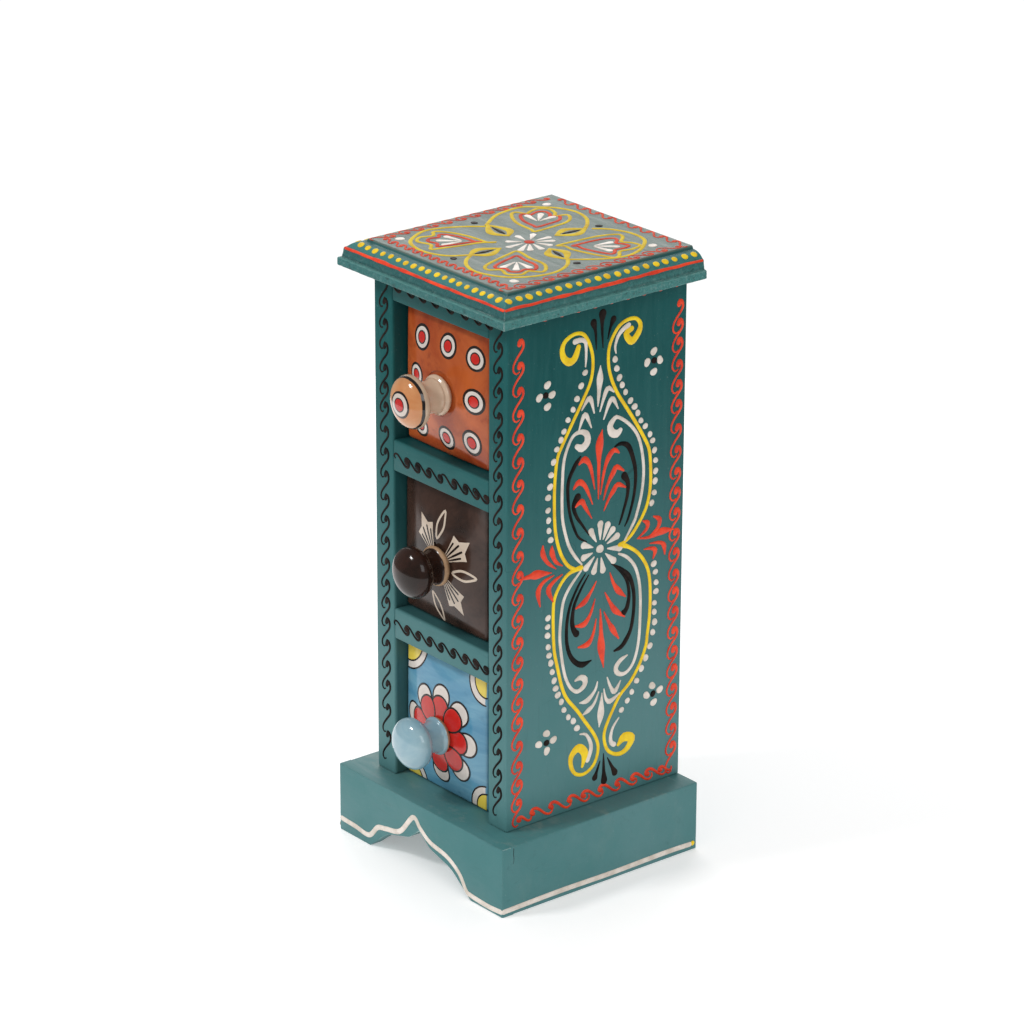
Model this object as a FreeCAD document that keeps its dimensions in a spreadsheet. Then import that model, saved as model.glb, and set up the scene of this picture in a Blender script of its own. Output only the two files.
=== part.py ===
import FreeCAD, Part
import os
import re
import Sketcher

# Tabletop drawer tower: a painted wooden cabinet on a scalloped plinth, with three ceramic drawers.
# Millimetres. Origin on the ground under the middle of the whole outline, front towards -Y, +Z up.

# Driving dimensions. The right column says what each one is.
SIZES = [
    ("cabinet_width", 90.0, "outside width of the box between its side faces"),
    ("cabinet_depth", 98.0, "front edge of the sides to their back edge"),
    ("side_thickness", 12.6, "side boards, seen as the stiles"),
    ("shelf_thickness", 14.1, "both shelves, seen as the rails"),
    ("cabinet_top_thickness", 11.8, "top of the box under the moulded board"),
    ("back_thickness", 4.0, "panel between the sides at the back"),
    ("lower_opening", 65.3, "clear height over the base board"),
    ("middle_opening", 63.9, "clear height over the lower shelf"),
    ("upper_opening", 62.8, "clear height over the upper shelf"),
    ("moulding_runout", 2.0, "how far the moulding's cutting outline runs past the board"),
    ("board_arris", 0.7, "rounding of the boards' worn front edges"),
    ("plinth_height", 32.0, "ground to the ledge"),
    ("plinth_side_overhang", 12.6, "ledge beside the box"),
    ("plinth_front_overhang", 12.2, "ledge before the box"),
    ("plinth_thickness", 6.3, "the four boards round the plinth"),
    ("plinth_arris", 0.9, "rounding of the front board's upright corners"),
    ("base_thickness", 12.0, "board let into the plinth"),
    ("foot_length", 22.1, "flat foot at each end of the scalloped front"),
    ("shoulder_inset", 13.0, "foot's inner corner to the scallop's shoulder"),
    ("shoulder_height", 10.2, "shoulder above the ground"),
    ("lobe_inset", 6.8, "lobe to the middle of the scallop"),
    ("lobe_height", 14.6, "lobe above the ground"),
    ("peak_height", 20.3, "pointed top of the scallop above the ground"),
    ("shoulder_round", 18.0, "radius that softens the shoulder"),
    ("lobe_round", 8.0, "radius that softens the lobe"),
    ("top_side_overhang", 11.1, "moulded board beyond the box at each side"),
    ("top_front_overhang", 11.0, "moulded board beyond the box at the front"),
    ("top_back_overhang", 0.9, "moulded board beyond the box at the back"),
    ("top_thickness", 12.9, "moulded board, underside to painted field"),
    ("fillet_height", 3.8, "square lower edge of the moulding"),
    ("fillet_arris", 0.8, "rounding of that edge"),
    ("ledge_inset", 1.1, "step in above the lower edge"),
    ("cove_top_inset", 1.9, "top of the hollow riser"),
    ("cove_top_height", 7.3, "top of the hollow riser above the underside"),
    ("cove_sag", 0.25, "depth of the hollow in the riser"),
    ("arris_inset", 2.5, "inner side of the moulding's outer arris"),
    ("arris_height", 8.3, "the same, above the underside"),
    ("band_inset", 8.4, "inner end of the sloping band"),
    ("band_height", 12.0, "the same, above the underside"),
    ("band_sag", 0.7, "crown of the sloping band"),
    ("field_inset", 9.6, "edge of the raised field"),
    ("drawer_recess", 6.3, "front edges of a drawer behind the cabinet's front"),
    ("drawer_side_play", 8.8, "opening less drawer, both sides together"),
    ("drawer_head_room", 1.5, "above a drawer"),
    ("drawer_seat_gap", 0.3, "under a drawer, where it slides"),
    ("drawer_back_gap", 0.3, "behind a pushed-in drawer"),
    ("upper_left_gap", 2.0, "left of the upper drawer"),
    ("middle_left_gap", 0.5, "left of the middle drawer"),
    ("lower_left_gap", 0.8, "left of the lower drawer"),
    ("drawer_wall", 4.5, "ceramic wall"),
    ("drawer_floor", 5.0, "ceramic floor"),
    ("drawer_corner", 4.0, "radius of a drawer's upright corners"),
    ("drawer_inner_corner", 3.0, "radius of the upright corners inside"),
    ("drawer_foot_round", 2.0, "rounding under a drawer"),
    ("drawer_front_round", 1.6, "rounding of the front's upright edges"),
    ("drawer_rim_round", 1.2, "rounding of the rim, outside and inside"),
    ("crown_share", 0.0803571429, "swelling of a drawer's front, as a share of its width"),
    ("knob_axis_height", 28.4, "knob's axis above the underside of its drawer"),
    ("seat_depth", 0.8, "flat for the knob below the top of the crown"),
    ("seat_clearance", 0.3, "round the knob's collar in that flat"),
    ("stud_radius", 2.0, "threaded stud in the knob"),
    ("stud_clearance", 0.5, "round the stud in the drawer's front"),
    ("stud_in_knob", 9.0, "stud's length inside the knob"),
    ("stud_end", 1.6, "stud beyond its nut"),
    ("washer_radius", 6.0, "washer inside the drawer"),
    ("washer_thickness", 1.0, "washer inside the drawer"),
    ("nut_circle", 4.04, "nut, centre to corner"),
    ("nut_height", 3.2, "nut inside the drawer"),
    ("collar_height", 3.2, "ring at the root of each knob"),
    ("collar_round", 0.8, "rounding of that ring"),
    ("upper_collar_radius", 9.8, "upper knob, ring"),
    ("upper_neck_radius", 8.2, "upper knob, neck at the ring"),
    ("upper_waist_radius", 7.0, "upper knob, neck under the head"),
    ("upper_head_radius", 11.8, "upper knob, head"),
    ("upper_head_reach", 12.5, "upper knob, ring's face to widest part of the head"),
    ("upper_dome", 7.0, "upper knob, dome in front of the widest part"),
    ("upper_back", 4.0, "upper knob, back of the head"),
    ("middle_collar_radius", 9.8, "middle knob, ring"),
    ("middle_neck_radius", 8.2, "middle knob, neck at the ring"),
    ("middle_waist_radius", 6.8, "middle knob, neck under the head"),
    ("middle_head_radius", 11.4, "middle knob, head"),
    ("middle_head_reach", 11.2, "middle knob, ring's face to widest part of the head"),
    ("middle_dome", 7.0, "middle knob, dome in front of the widest part"),
    ("middle_back", 7.0, "middle knob, back of the head"),
    ("lower_collar_radius", 9.2, "lower knob, ring"),
    ("lower_neck_radius", 7.8, "lower knob, neck at the ring"),
    ("lower_waist_radius", 6.6, "lower knob, neck under the head"),
    ("lower_head_radius", 11.6, "lower knob, head"),
    ("lower_head_reach", 12.3, "lower knob, ring's face to widest part of the head"),
    ("lower_dome", 6.8, "lower knob, dome in front of the widest part"),
    ("lower_back", 6.8, "lower knob, back of the head"),
    ("nail_radius", 0.8, "wire nails"),
    ("nail_length", 22.0, "wire nails"),
    ("top_nail_length", 19.0, "nails that hold the moulded board"),
    ("nail_sink", 0.6, "filler over each nail's head"),
    ("nail_end_distance", 16.0, "nails to a board's front or back edge"),
    ("plinth_nail_length", 15.0, "nails through the plinth's boards"),
    ("plinth_nail_end", 20.0, "plinth nails to the board's end"),
    ("pin_radius", 0.6, "pins of the back panel"),
    ("pin_length", 14.0, "pins of the back panel"),
    ("pin_head_radius", 1.3, "flat head of a pin"),
    ("pin_head_height", 0.5, "flat head of a pin"),
    ("pin_side_distance", 14.0, "pins to the panel's side edge"),
]

ALIASES = {alias for alias, value, note in SIZES}

document = FreeCAD.newDocument("drawer_tower")
sheet = document.addObject("Spreadsheet::Sheet", "sizes")
for row, (alias, value, note) in enumerate(SIZES, start=1):
    sheet.set(f"A{row}", alias)
    sheet.set(f"B{row}", str(value))
    sheet.set(f"C{row}", note)
    sheet.setAlias(f"B{row}", alias)
document.recompute()


def size(expression):
    """The value of an expression in the sheet's names."""
    return float(sheet.evalExpression(named(expression)))


def named(expression):
    """The expression with each of the sheet's names written in full."""
    return re.sub(r"[a-z][a-z_]*", full_name, str(expression))


def full_name(found):
    word = found.group()
    return f"sizes.{word}" if word in ALIASES else word


def bind(item, **properties):
    """Bind properties to expressions. Two underscores stand for a dot."""
    for name, expression in properties.items():
        item.setExpression(name.replace("__", "."), named(expression))


def place(item, x="0", y="0", z="0"):
    """Bind where an item stands."""
    bind(item, Placement__Base__x=x, Placement__Base__y=y, Placement__Base__z=z)


# Places that several pieces share. Y counts from the cabinet's front, and FRONT moves it to the origin.
DRAWERS = ("lower", "middle", "upper")
HALF_WIDTH = "cabinet_width / 2"
INNER_LEFT = f"(side_thickness - {HALF_WIDTH})"
OPENING_WIDTH = "(cabinet_width - 2 * side_thickness)"
INNER_DEPTH = "(cabinet_depth - back_thickness)"
LOWER_SHELF_Z = "(plinth_height + lower_opening)"
UPPER_SHELF_Z = f"({LOWER_SHELF_Z} + shelf_thickness + middle_opening)"
CABINET_TOP_Z = f"({UPPER_SHELF_Z} + shelf_thickness + upper_opening)"
BOX_TOP_Z = f"({CABINET_TOP_Z} + cabinet_top_thickness)"
FLOOR_Z = {
    "lower": "plinth_height",
    "middle": f"({LOWER_SHELF_Z} + shelf_thickness)",
    "upper": f"({UPPER_SHELF_Z} + shelf_thickness)",
}
DRAWER_WIDTH = f"({OPENING_WIDTH} - drawer_side_play)"
CROWN_HEIGHT = f"({DRAWER_WIDTH} * crown_share)"
DRAWER_DEPTH = f"({INNER_DEPTH} - drawer_recess - drawer_back_gap)"
KNOB_LENGTH = {name: f"(collar_height + {name}_head_reach + {name}_dome)" for name in DRAWERS}
SEAT_Y = f"(drawer_recess + seat_depth - {CROWN_HEIGHT})"
KNOB_REACH = "; ".join(f"{KNOB_LENGTH[name]} - {SEAT_Y}" for name in DRAWERS)
FRONT_REACH = f"max({KNOB_REACH}; plinth_front_overhang; top_front_overhang)"
FRONT = f"(({FRONT_REACH} - cabinet_depth - top_back_overhang) / 2)"


def from_front(expression):
    """Y of something that stands this far behind the cabinet's front."""
    return f"{FRONT} + {expression}"


def origin_plane(body, role):
    """One of a body's own origin planes."""
    return next(plane for plane in body.Origin.OriginFeatures if plane.Role == role)


def new_body(label):
    body = document.addObject("PartDesign::Body", label)
    body.Label = label
    return body


def new_sketch(body, name, role="XY_Plane", offset=None):
    """An empty sketch on a body's origin plane, offset along the plane's normal if asked."""
    sketch = body.newObject("Sketcher::SketchObject", name)
    sketch.AttachmentSupport = [(origin_plane(body, role), "")]
    sketch.MapMode = "FlatFace"
    if offset:
        bind(sketch, AttachmentOffset__Base__z=offset)
    return sketch


def outline(sketch, points, closed=True):
    """Straight lines through points, each a pair of expressions, with every place bound to them."""
    corners = [FreeCAD.Vector(size(x), size(y), 0) for x, y in points]
    count = len(corners)
    last = count if closed else count - 1
    for index in range(last):
        line = Part.LineSegment(corners[index], corners[(index + 1) % count])
        sketch.addGeometry(line, False)
    for index in range(last if closed else last - 1):
        sketch.addConstraint(Sketcher.Constraint("Coincident", index, 2, (index + 1) % count, 1))
    for index, (x, y) in enumerate(points):
        line, end = (index, 1) if index < last else (index - 1, 2)
        fix_point(sketch, line, end, x, y, f"corner{index}")


def fix_point(sketch, geometry, end, x, y, name):
    """Bind a point's two coordinates to expressions."""
    for kind, expression, suffix in (("DistanceX", x, "x"), ("DistanceY", y, "y")):
        constraint = Sketcher.Constraint(kind, -1, 1, geometry, end, size(expression))
        number = sketch.addConstraint(constraint)
        label = name + suffix
        sketch.renameConstraint(number, label)
        sketch.setExpression(f"Constraints.{label}", named(expression))


def rectangle(sketch, width, height, x="0", y="0"):
    """A rectangle from its lower left corner."""
    right = f"({x}) + ({width})"
    top = f"({y}) + ({height})"
    outline(sketch, [(x, y), (right, y), (right, top), (x, top)])


def pad(body, sketch, length, name="Pad", reversed_direction=False):
    feature = body.newObject("PartDesign::Pad", name)
    feature.Profile = sketch
    feature.Reversed = reversed_direction
    bind(feature, Length=length)
    return feature


def pocket(body, sketch, length=None, name="Pocket", reversed_direction=False):
    """Cut a sketch out of the body, and stop if nothing was cut."""
    document.recompute()
    before = body.Shape.Volume
    feature = body.newObject("PartDesign::Pocket", name)
    feature.Profile = sketch
    feature.Reversed = reversed_direction
    if length:
        bind(feature, Length=length)
    else:
        feature.Type = "ThroughAll"
    document.recompute()
    if body.Shape.Volume >= before:
        raise RuntimeError(f"{body.Label}: {name} cuts nothing")
    return feature


def fillet(body, radius, chosen, name="Fillet"):
    """Round the edges of the body's tip for which chosen(middle, edge) is true."""
    document.recompute()
    base = body.Tip
    names = []
    for number, edge in enumerate(base.Shape.Edges, start=1):
        middle = edge.valueAt((edge.FirstParameter + edge.LastParameter) / 2)
        if chosen(middle, edge):
            names.append(f"Edge{number}")
    if not names:
        raise RuntimeError(f"{body.Label}: {name} finds no edge")
    feature = body.newObject("PartDesign::Fillet", name)
    feature.Base = (base, names)
    bind(feature, Radius=radius)
    document.recompute()
    return feature


def close(first, second):
    return abs(first - second) < 1e-4


def runs_along(edge, axis):
    """Whether an edge is straight and lies along the axis x, y or z."""
    start, end = edge.Vertexes[0].Point, edge.Vertexes[-1].Point
    others = [name for name in "xyz" if name != axis]
    return edge.Curve.TypeId == "Part::GeomLine" and all(
        close(getattr(start, name), getattr(end, name)) for name in others
    )


def board(label, width, depth, height, x, y, z):
    """A plain board from its left, front, lower corner."""
    body = new_body(label)
    sketch = new_sketch(body, f"{label}_plan")
    rectangle(sketch, width, depth)
    pad(body, sketch, height, name=f"{label}_pad")
    place(body, x, y, z)
    return body


def make_side(label, x):
    """A side board. Its front edge is a stile with two worn arrises."""
    height = f"{BOX_TOP_Z} - plinth_height"
    body = board(f"{label}_board", "side_thickness", "cabinet_depth", height, x, FRONT, "plinth_height")
    fillet(body, "board_arris", lambda p, e: close(p.y, 0) and runs_along(e, "z"))
    return body


def make_shelf(label, thickness, z):
    """A board between the sides, with worn arrises at its front."""
    body = board(f"{label}_board", OPENING_WIDTH, INNER_DEPTH, thickness, INNER_LEFT, FRONT, z)
    fillet(body, "board_arris", lambda p, e: close(p.y, 0) and runs_along(e, "x"))
    return body


def make_top_board():
    """The moulded top: a board whose edge is routed along the left, front and right."""
    width = "(cabinet_width + 2 * top_side_overhang)"
    depth = "(cabinet_depth + top_front_overhang + top_back_overhang)"
    body = new_body("top_board_blank")
    plan = new_sketch(body, "top_plan")
    rectangle(plan, width, depth, y=f"-{depth}")
    pad(body, plan, "top_thickness", name="top_pad")

    path = new_sketch(body, "router_path")
    corners = [("0", "0"), ("0", f"-{depth}"), (width, f"-{depth}"), (width, "0")]
    outline(path, corners, closed=False)

    cut = new_sketch(body, "moulding_section", role="XZ_Plane")
    above = "top_thickness + moulding_runout"
    section = [
        ("-moulding_runout", "fillet_height"),
        ("ledge_inset", "fillet_height"),
        ("cove_top_inset", "cove_top_height"),
        ("arris_inset", "arris_height"),
        ("band_inset", "band_height"),
        ("field_inset", "top_thickness"),
        ("field_inset", above),
        ("-moulding_runout", above),
    ]
    sags = {1: "cove_sag", 3: "-band_sag"}
    moulding_outline(cut, section, sags)
    document.recompute()
    before = body.Shape.Volume
    routed = body.newObject("PartDesign::SubtractivePipe", "routed_edge")
    routed.Profile = cut
    routed.Spine = (path, ["Edge1", "Edge2", "Edge3"])
    routed.Transition = "Right corner"
    document.recompute()
    if body.Shape.Volume >= before:
        raise RuntimeError("the moulding cuts nothing")
    y = from_front("cabinet_depth + top_back_overhang")
    place(body, f"-{width} / 2", y, BOX_TOP_Z)
    return body


def moulding_outline(sketch, points, sags):
    """A closed outline of lines, with an arc where sags gives the depth of one."""
    corners = [FreeCAD.Vector(size(x), size(y), 0) for x, y in points]
    count = len(corners)
    for index in range(count):
        start, end = corners[index], corners[(index + 1) % count]
        if index in sags:
            sketch.addGeometry(arc_with_sag(start, end, size(sags[index])), False)
        else:
            sketch.addGeometry(Part.LineSegment(start, end), False)
    ends = [arc_ends(index, corners, sags) for index in range(count)]
    for index in range(count):
        following = (index + 1) % count
        sketch.addConstraint(
            Sketcher.Constraint("Coincident", index, ends[index][1], following, ends[following][0])
        )
    for index, (x, y) in enumerate(points):
        fix_point(sketch, index, ends[index][0], x, y, f"corner{index}")
    for index, sag in sags.items():
        (x1, y1), (x2, y2) = points[index], points[(index + 1) % count]
        chord = f"(({x2} - {x1}) ^ 2 + ({y2} - {y1}) ^ 2)"
        radius = f"({chord} / 4 + ({sag}) ^ 2) / (2 * abs({sag}))"
        number = sketch.addConstraint(Sketcher.Constraint("Radius", index, size(radius)))
        sketch.renameConstraint(number, f"radius{index}")
        sketch.setExpression(f"Constraints.radius{index}", named(radius))


def arc_with_sag(start, end, sag):
    """The arc from start to end whose middle lies sag to the left of the chord."""
    chord = end - start
    left = FreeCAD.Vector(-chord.y, chord.x, 0)
    left.normalize()
    middle = (start + end) * 0.5 + left * sag
    return Part.Arc(start, middle, end)


def arc_ends(index, corners, sags):
    """Which end of a geometry is its start in the outline: 1 and 2, or 2 and 1 on an arc turned over."""
    if index in sags and size(sags[index]) > 0:
        return 2, 1
    return 1, 2


def make_plinth_front():
    """The scalloped front board of the plinth, with a flat foot at each end."""
    width = "(cabinet_width + 2 * plinth_side_overhang)"
    body = board(
        "plinth_front_board", width, "plinth_thickness", "plinth_height",
        f"-{width} / 2", from_front("-plinth_front_overhang"), "0",
    )
    scallop = new_sketch(body, "scallop", role="XZ_Plane")
    middle = f"({width} / 2)"
    left = [
        ("foot_length", "0"),
        ("foot_length + shoulder_inset", "shoulder_height"),
        (f"{middle} - lobe_inset", "lobe_height"),
    ]
    right = [(f"{width} - ({x})", z) for x, z in reversed(left)]
    below = [(f"{width} - foot_length", "-1"), ("foot_length", "-1")]
    outline(scallop, left + [(middle, "peak_height")] + right + below)
    pocket(body, scallop, name="scallop_cut")
    shoulder = size("shoulder_height")
    lobe = size("lobe_height")
    fillet(body, "shoulder_round", lambda p, e: close(p.z, shoulder) and runs_along(e, "y"), "shoulders")
    fillet(body, "lobe_round", lambda p, e: close(p.z, lobe) and runs_along(e, "y"), "lobes")
    fillet(body, "plinth_arris", lambda p, e: close(p.y, 0) and runs_along(e, "z"), "corners")
    return body


def make_plinth_side(label, x):
    length = "cabinet_depth + plinth_front_overhang - plinth_thickness"
    y = from_front("plinth_thickness - plinth_front_overhang")
    return board(f"{label}_board", "plinth_thickness", length, "plinth_height", x, y, "0")


def round_bar(label, radius, length, x, y, z, axis):
    """A round bar from a point along one of the axes X, -X, Y, -Y, Z or -Z."""
    bar = document.addObject("Part::Cylinder", label)
    bind(bar, Radius=radius, Height=length)
    place(bar, x, y, z)
    bar.Placement.Rotation = FreeCAD.Rotation(FreeCAD.Vector(0, 0, 1), AXES[axis])
    return bar


AXES = {
    "X": FreeCAD.Vector(1, 0, 0),
    "-X": FreeCAD.Vector(-1, 0, 0),
    "Y": FreeCAD.Vector(0, 1, 0),
    "-Y": FreeCAD.Vector(0, -1, 0),
    "Z": FreeCAD.Vector(0, 0, 1),
}


def group(label, items):
    """Separate solids kept together as one sub-part."""
    compound = document.addObject("Part::Compound", label)
    compound.Label = label
    compound.Links = items
    return compound


def drill(label, body, tools):
    """A piece with the room for its nails taken out."""
    tool = tools[0]
    if len(tools) > 1:
        tool = group(f"{label}_holes", tools)
    cut = document.addObject("Part::Cut", label)
    cut.Label = label
    cut.Base = body
    cut.Tool = tool
    return cut


def make_side_nails():
    """Nails through both sides into the ends of the shelves and of the box's top."""
    nails = []
    levels = [
        f"{CABINET_TOP_Z} + cabinet_top_thickness / 2",
        f"{UPPER_SHELF_Z} + shelf_thickness / 2",
        f"{LOWER_SHELF_Z} + shelf_thickness / 2",
    ]
    depths = [from_front("nail_end_distance"), from_front(f"{INNER_DEPTH} - nail_end_distance")]
    sides = [("X", f"nail_sink - {HALF_WIDTH}"), ("-X", f"{HALF_WIDTH} - nail_sink")]
    for axis, x in sides:
        for z in levels:
            for y in depths:
                label = f"side_nail_{len(nails) + 1}"
                nails.append(round_bar(label, "nail_radius", "nail_length", x, y, z, axis))
    return group("side_nails", nails)


def make_base_nails():
    """Nails up through the base board into the lower ends of the sides."""
    nails = []
    z = "plinth_height - base_thickness + nail_sink"
    middle = f"({HALF_WIDTH} - side_thickness / 2)"
    for x in (f"-{middle}", middle):
        for y in (from_front("nail_end_distance"), from_front(f"{INNER_DEPTH} - nail_end_distance")):
            label = f"base_nail_{len(nails) + 1}"
            nails.append(round_bar(label, "nail_radius", "nail_length", x, y, z, "Z"))
    return group("base_nails", nails)


def make_top_nails():
    """Nails up through the box's top into the moulded board."""
    nails = []
    x_place = f"({HALF_WIDTH} - side_thickness - nail_end_distance)"
    for x in (f"-{x_place}", x_place):
        for y in (from_front("nail_end_distance"), from_front(f"{INNER_DEPTH} - nail_end_distance")):
            label = f"top_nail_{len(nails) + 1}"
            z = f"{CABINET_TOP_Z} + nail_sink"
            nails.append(round_bar(label, "nail_radius", "top_nail_length", x, y, z, "Z"))
    return group("top_nails", nails)


def make_plinth_nails():
    """Nails through the plinth's boards into the edges of the base board."""
    nails = []
    z = "plinth_height - base_thickness / 2"
    half = f"({HALF_WIDTH} + plinth_side_overhang)"
    front_y = from_front("nail_sink - plinth_front_overhang")
    back_y = from_front("cabinet_depth - nail_sink")
    for x in (f"plinth_nail_end - {half}", f"{half} - plinth_nail_end"):
        for y, axis in ((front_y, "Y"), (back_y, "-Y")):
            label = f"plinth_nail_{len(nails) + 1}"
            nails.append(round_bar(label, "nail_radius", "plinth_nail_length", x, y, z, axis))
    for x, axis in ((f"nail_sink - {half}", "X"), (f"{half} - nail_sink", "-X")):
        for y in (from_front("plinth_nail_end"), from_front("cabinet_depth - plinth_nail_end")):
            label = f"plinth_nail_{len(nails) + 1}"
            nails.append(round_bar(label, "nail_radius", "plinth_nail_length", x, y, z, axis))
    return group("plinth_nails", nails)


def make_back_pins():
    """Flat-headed pins through the back panel into the boards behind the drawers."""
    pins = []
    levels = [
        f"{CABINET_TOP_Z} + cabinet_top_thickness / 2",
        f"{UPPER_SHELF_Z} + shelf_thickness / 2",
        f"{LOWER_SHELF_Z} + shelf_thickness / 2",
    ]
    head_y = from_front("cabinet_depth")
    x_place = f"({OPENING_WIDTH} / 2 - pin_side_distance)"
    for z in levels:
        for x in (f"-{x_place}", x_place):
            label = f"back_pin_{len(pins) + 1}"
            shank = round_bar(f"{label}_shank", "pin_radius", "pin_length", x, head_y, z, "-Y")
            head = round_bar(f"{label}_head", "pin_head_radius", "pin_head_height", x, head_y, z, "-Y")
            pin = document.addObject("Part::Fuse", label)
            pin.Base = shank
            pin.Tool = head
            pins.append(pin)
    return group("back_pins", pins)


def crown_lens(name, width, height):
    """The swelling of a drawer's front: a pillow on a flat back, with four straight edges.

    Its skin has three by three poles. Only the middle one stands out, by four times the crown.
    """
    out = 4 * size(CROWN_HEIGHT)
    skin_surface = Part.BezierSurface()
    skin_surface.increase(2, 2)
    for i, x in enumerate((0, width / 2, width), start=1):
        for j, z in enumerate((0, height / 2, height), start=1):
            y = -out if i == 2 and j == 2 else 0
            skin_surface.setPole(i, j, FreeCAD.Vector(x, y, z))
    skin = skin_surface.toShape()
    back = Part.Face(Part.Wire(Part.__sortEdges__(skin.Edges)))
    shell = Part.makeShell([skin, back])
    shell.sewShape()
    solid = Part.makeSolid(shell)
    if solid.Volume < 0:
        solid.reverse()
    lens = document.addObject("Part::Feature", f"{name}_crown")
    lens.Shape = solid
    return lens


def make_drawer_box(name):
    """A ceramic box, open on top, with a crowned front and a flat for its knob."""
    height = f"({name}_opening - drawer_seat_gap - drawer_head_room)"
    body = new_body(f"{name}_blank")
    plan = new_sketch(body, f"{name}_plan")
    rectangle(plan, DRAWER_WIDTH, DRAWER_DEPTH)
    pad(body, plan, height, name=f"{name}_pad")
    tall = size(height)
    depth = size(DRAWER_DEPTH)
    fillet(body, "drawer_corner", lambda p, e: close(p.y, depth) and runs_along(e, "z"), "back_corners")

    hollow = new_sketch(body, f"{name}_hollow", offset=height)
    rectangle(
        hollow, f"{DRAWER_WIDTH} - 2 * drawer_wall", f"{DRAWER_DEPTH} - 2 * drawer_wall",
        x="drawer_wall", y="drawer_wall",
    )
    pocket(body, hollow, f"{height} - drawer_floor", name=f"{name}_inside")
    width = size(DRAWER_WIDTH)
    fillet(
        body, "drawer_inner_corner",
        lambda p, e: 1 < p.x < width - 1 and 1 < p.y < depth - 1 and runs_along(e, "z"), "inner_corners",
    )

    lens = crown_lens(name, width, tall)
    crowned = document.addObject("Part::Fuse", f"{name}_crowned")
    crowned.Base = body
    crowned.Tool = lens
    softened = soften_drawer(name, crowned, tall)
    seat_y = f"seat_depth - {CROWN_HEIGHT}"
    seat = round_bar(
        f"{name}_seat", f"{name}_collar_radius + seat_clearance", f"{CROWN_HEIGHT} + seat_depth",
        f"{DRAWER_WIDTH} / 2", seat_y, "knob_axis_height", "-Y",
    )
    hole = round_bar(
        f"{name}_hole", "stud_radius + stud_clearance", f"drawer_wall + {CROWN_HEIGHT}",
        f"{DRAWER_WIDTH} / 2", "drawer_wall", "knob_axis_height", "-Y",
    )
    box = drill(f"{name}_drawer_box", softened, [seat, hole])
    x = f"({INNER_LEFT} + {name}_left_gap)"
    z = f"({FLOOR_Z[name]} + drawer_seat_gap)"
    place(box, x, from_front("drawer_recess"), z)
    return box, f"{x} + {DRAWER_WIDTH} / 2", f"{z} + knob_axis_height"


def soften_drawer(name, base, top):
    """Round a drawer's foot, the upright edges of its front, and its rim on both sides."""
    document.recompute()
    edges = []
    for number, edge in enumerate(base.Shape.Edges, start=1):
        ends = [vertex.Point for vertex in edge.Vertexes]
        if all(close(point.z, top) for point in ends):
            radius = size("drawer_rim_round")
        elif all(close(point.z, 0) for point in ends):
            radius = size("drawer_foot_round")
        elif all(close(point.y, 0) for point in ends):
            radius = size("drawer_front_round")
        else:
            continue
        edges.append((number, radius, radius))
    softened = document.addObject("Part::Fillet", f"{name}_softened")
    softened.Base = base
    softened.Edges = edges
    return softened


def make_knob(name, axis_x, axis_z):
    """A turned ceramic knob: ring, waisted neck and oblate head, bored for its stud."""
    root = f"{name}_collar_radius"
    reach = f"(collar_height + {name}_head_reach)"
    neck_end = f"({reach} - {name}_back / 2)"
    body = new_body(f"{name}_neck")
    profile = new_sketch(body, f"{name}_profile", role="XZ_Plane")
    outline(profile, [
        ("0", "0"),
        (root, "0"),
        (root, "collar_height - collar_round"),
        (f"{root} - collar_round", "collar_height"),
        (f"{name}_neck_radius", "collar_height"),
        (f"{name}_waist_radius", f"(collar_height + {neck_end}) / 2"),
        (f"{name}_waist_radius", neck_end),
        ("0", neck_end),
    ])
    turned = body.newObject("PartDesign::Revolution", f"{name}_turned")
    turned.Profile = profile
    turned.ReferenceAxis = (profile, ["V_Axis"])
    turned.Angle = 360
    front_half = half_head(f"{name}_front_half", f"{name}_head_radius", f"{name}_dome", reach, 0, 90)
    back_half = half_head(f"{name}_back_half", f"{name}_head_radius", f"{name}_back", reach, -90, 0)
    whole = document.addObject("Part::MultiFuse", f"{name}_whole")
    whole.Shapes = [body, front_half, back_half]
    bore = document.addObject("Part::Cylinder", f"{name}_bore")
    bind(bore, Radius="stud_radius", Height="stud_in_knob")
    knob = document.addObject("Part::Cut", f"{name}_knob")
    knob.Label = f"{name}_knob"
    knob.Base = whole
    knob.Tool = bore
    knob.Placement.Rotation = FreeCAD.Rotation(FreeCAD.Vector(0, 0, 1), AXES["-Y"])
    place(knob, axis_x, from_front(SEAT_Y), axis_z)
    return knob


def half_head(label, radius, height, z, first, last):
    """Half an oblate head, before or behind its widest part."""
    half = document.addObject("Part::Ellipsoid", label)
    bind(half, Radius1=height, Radius2=radius, Radius3=radius)
    half.Angle1 = first
    half.Angle2 = last
    place(half, z=z)
    return half


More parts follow.
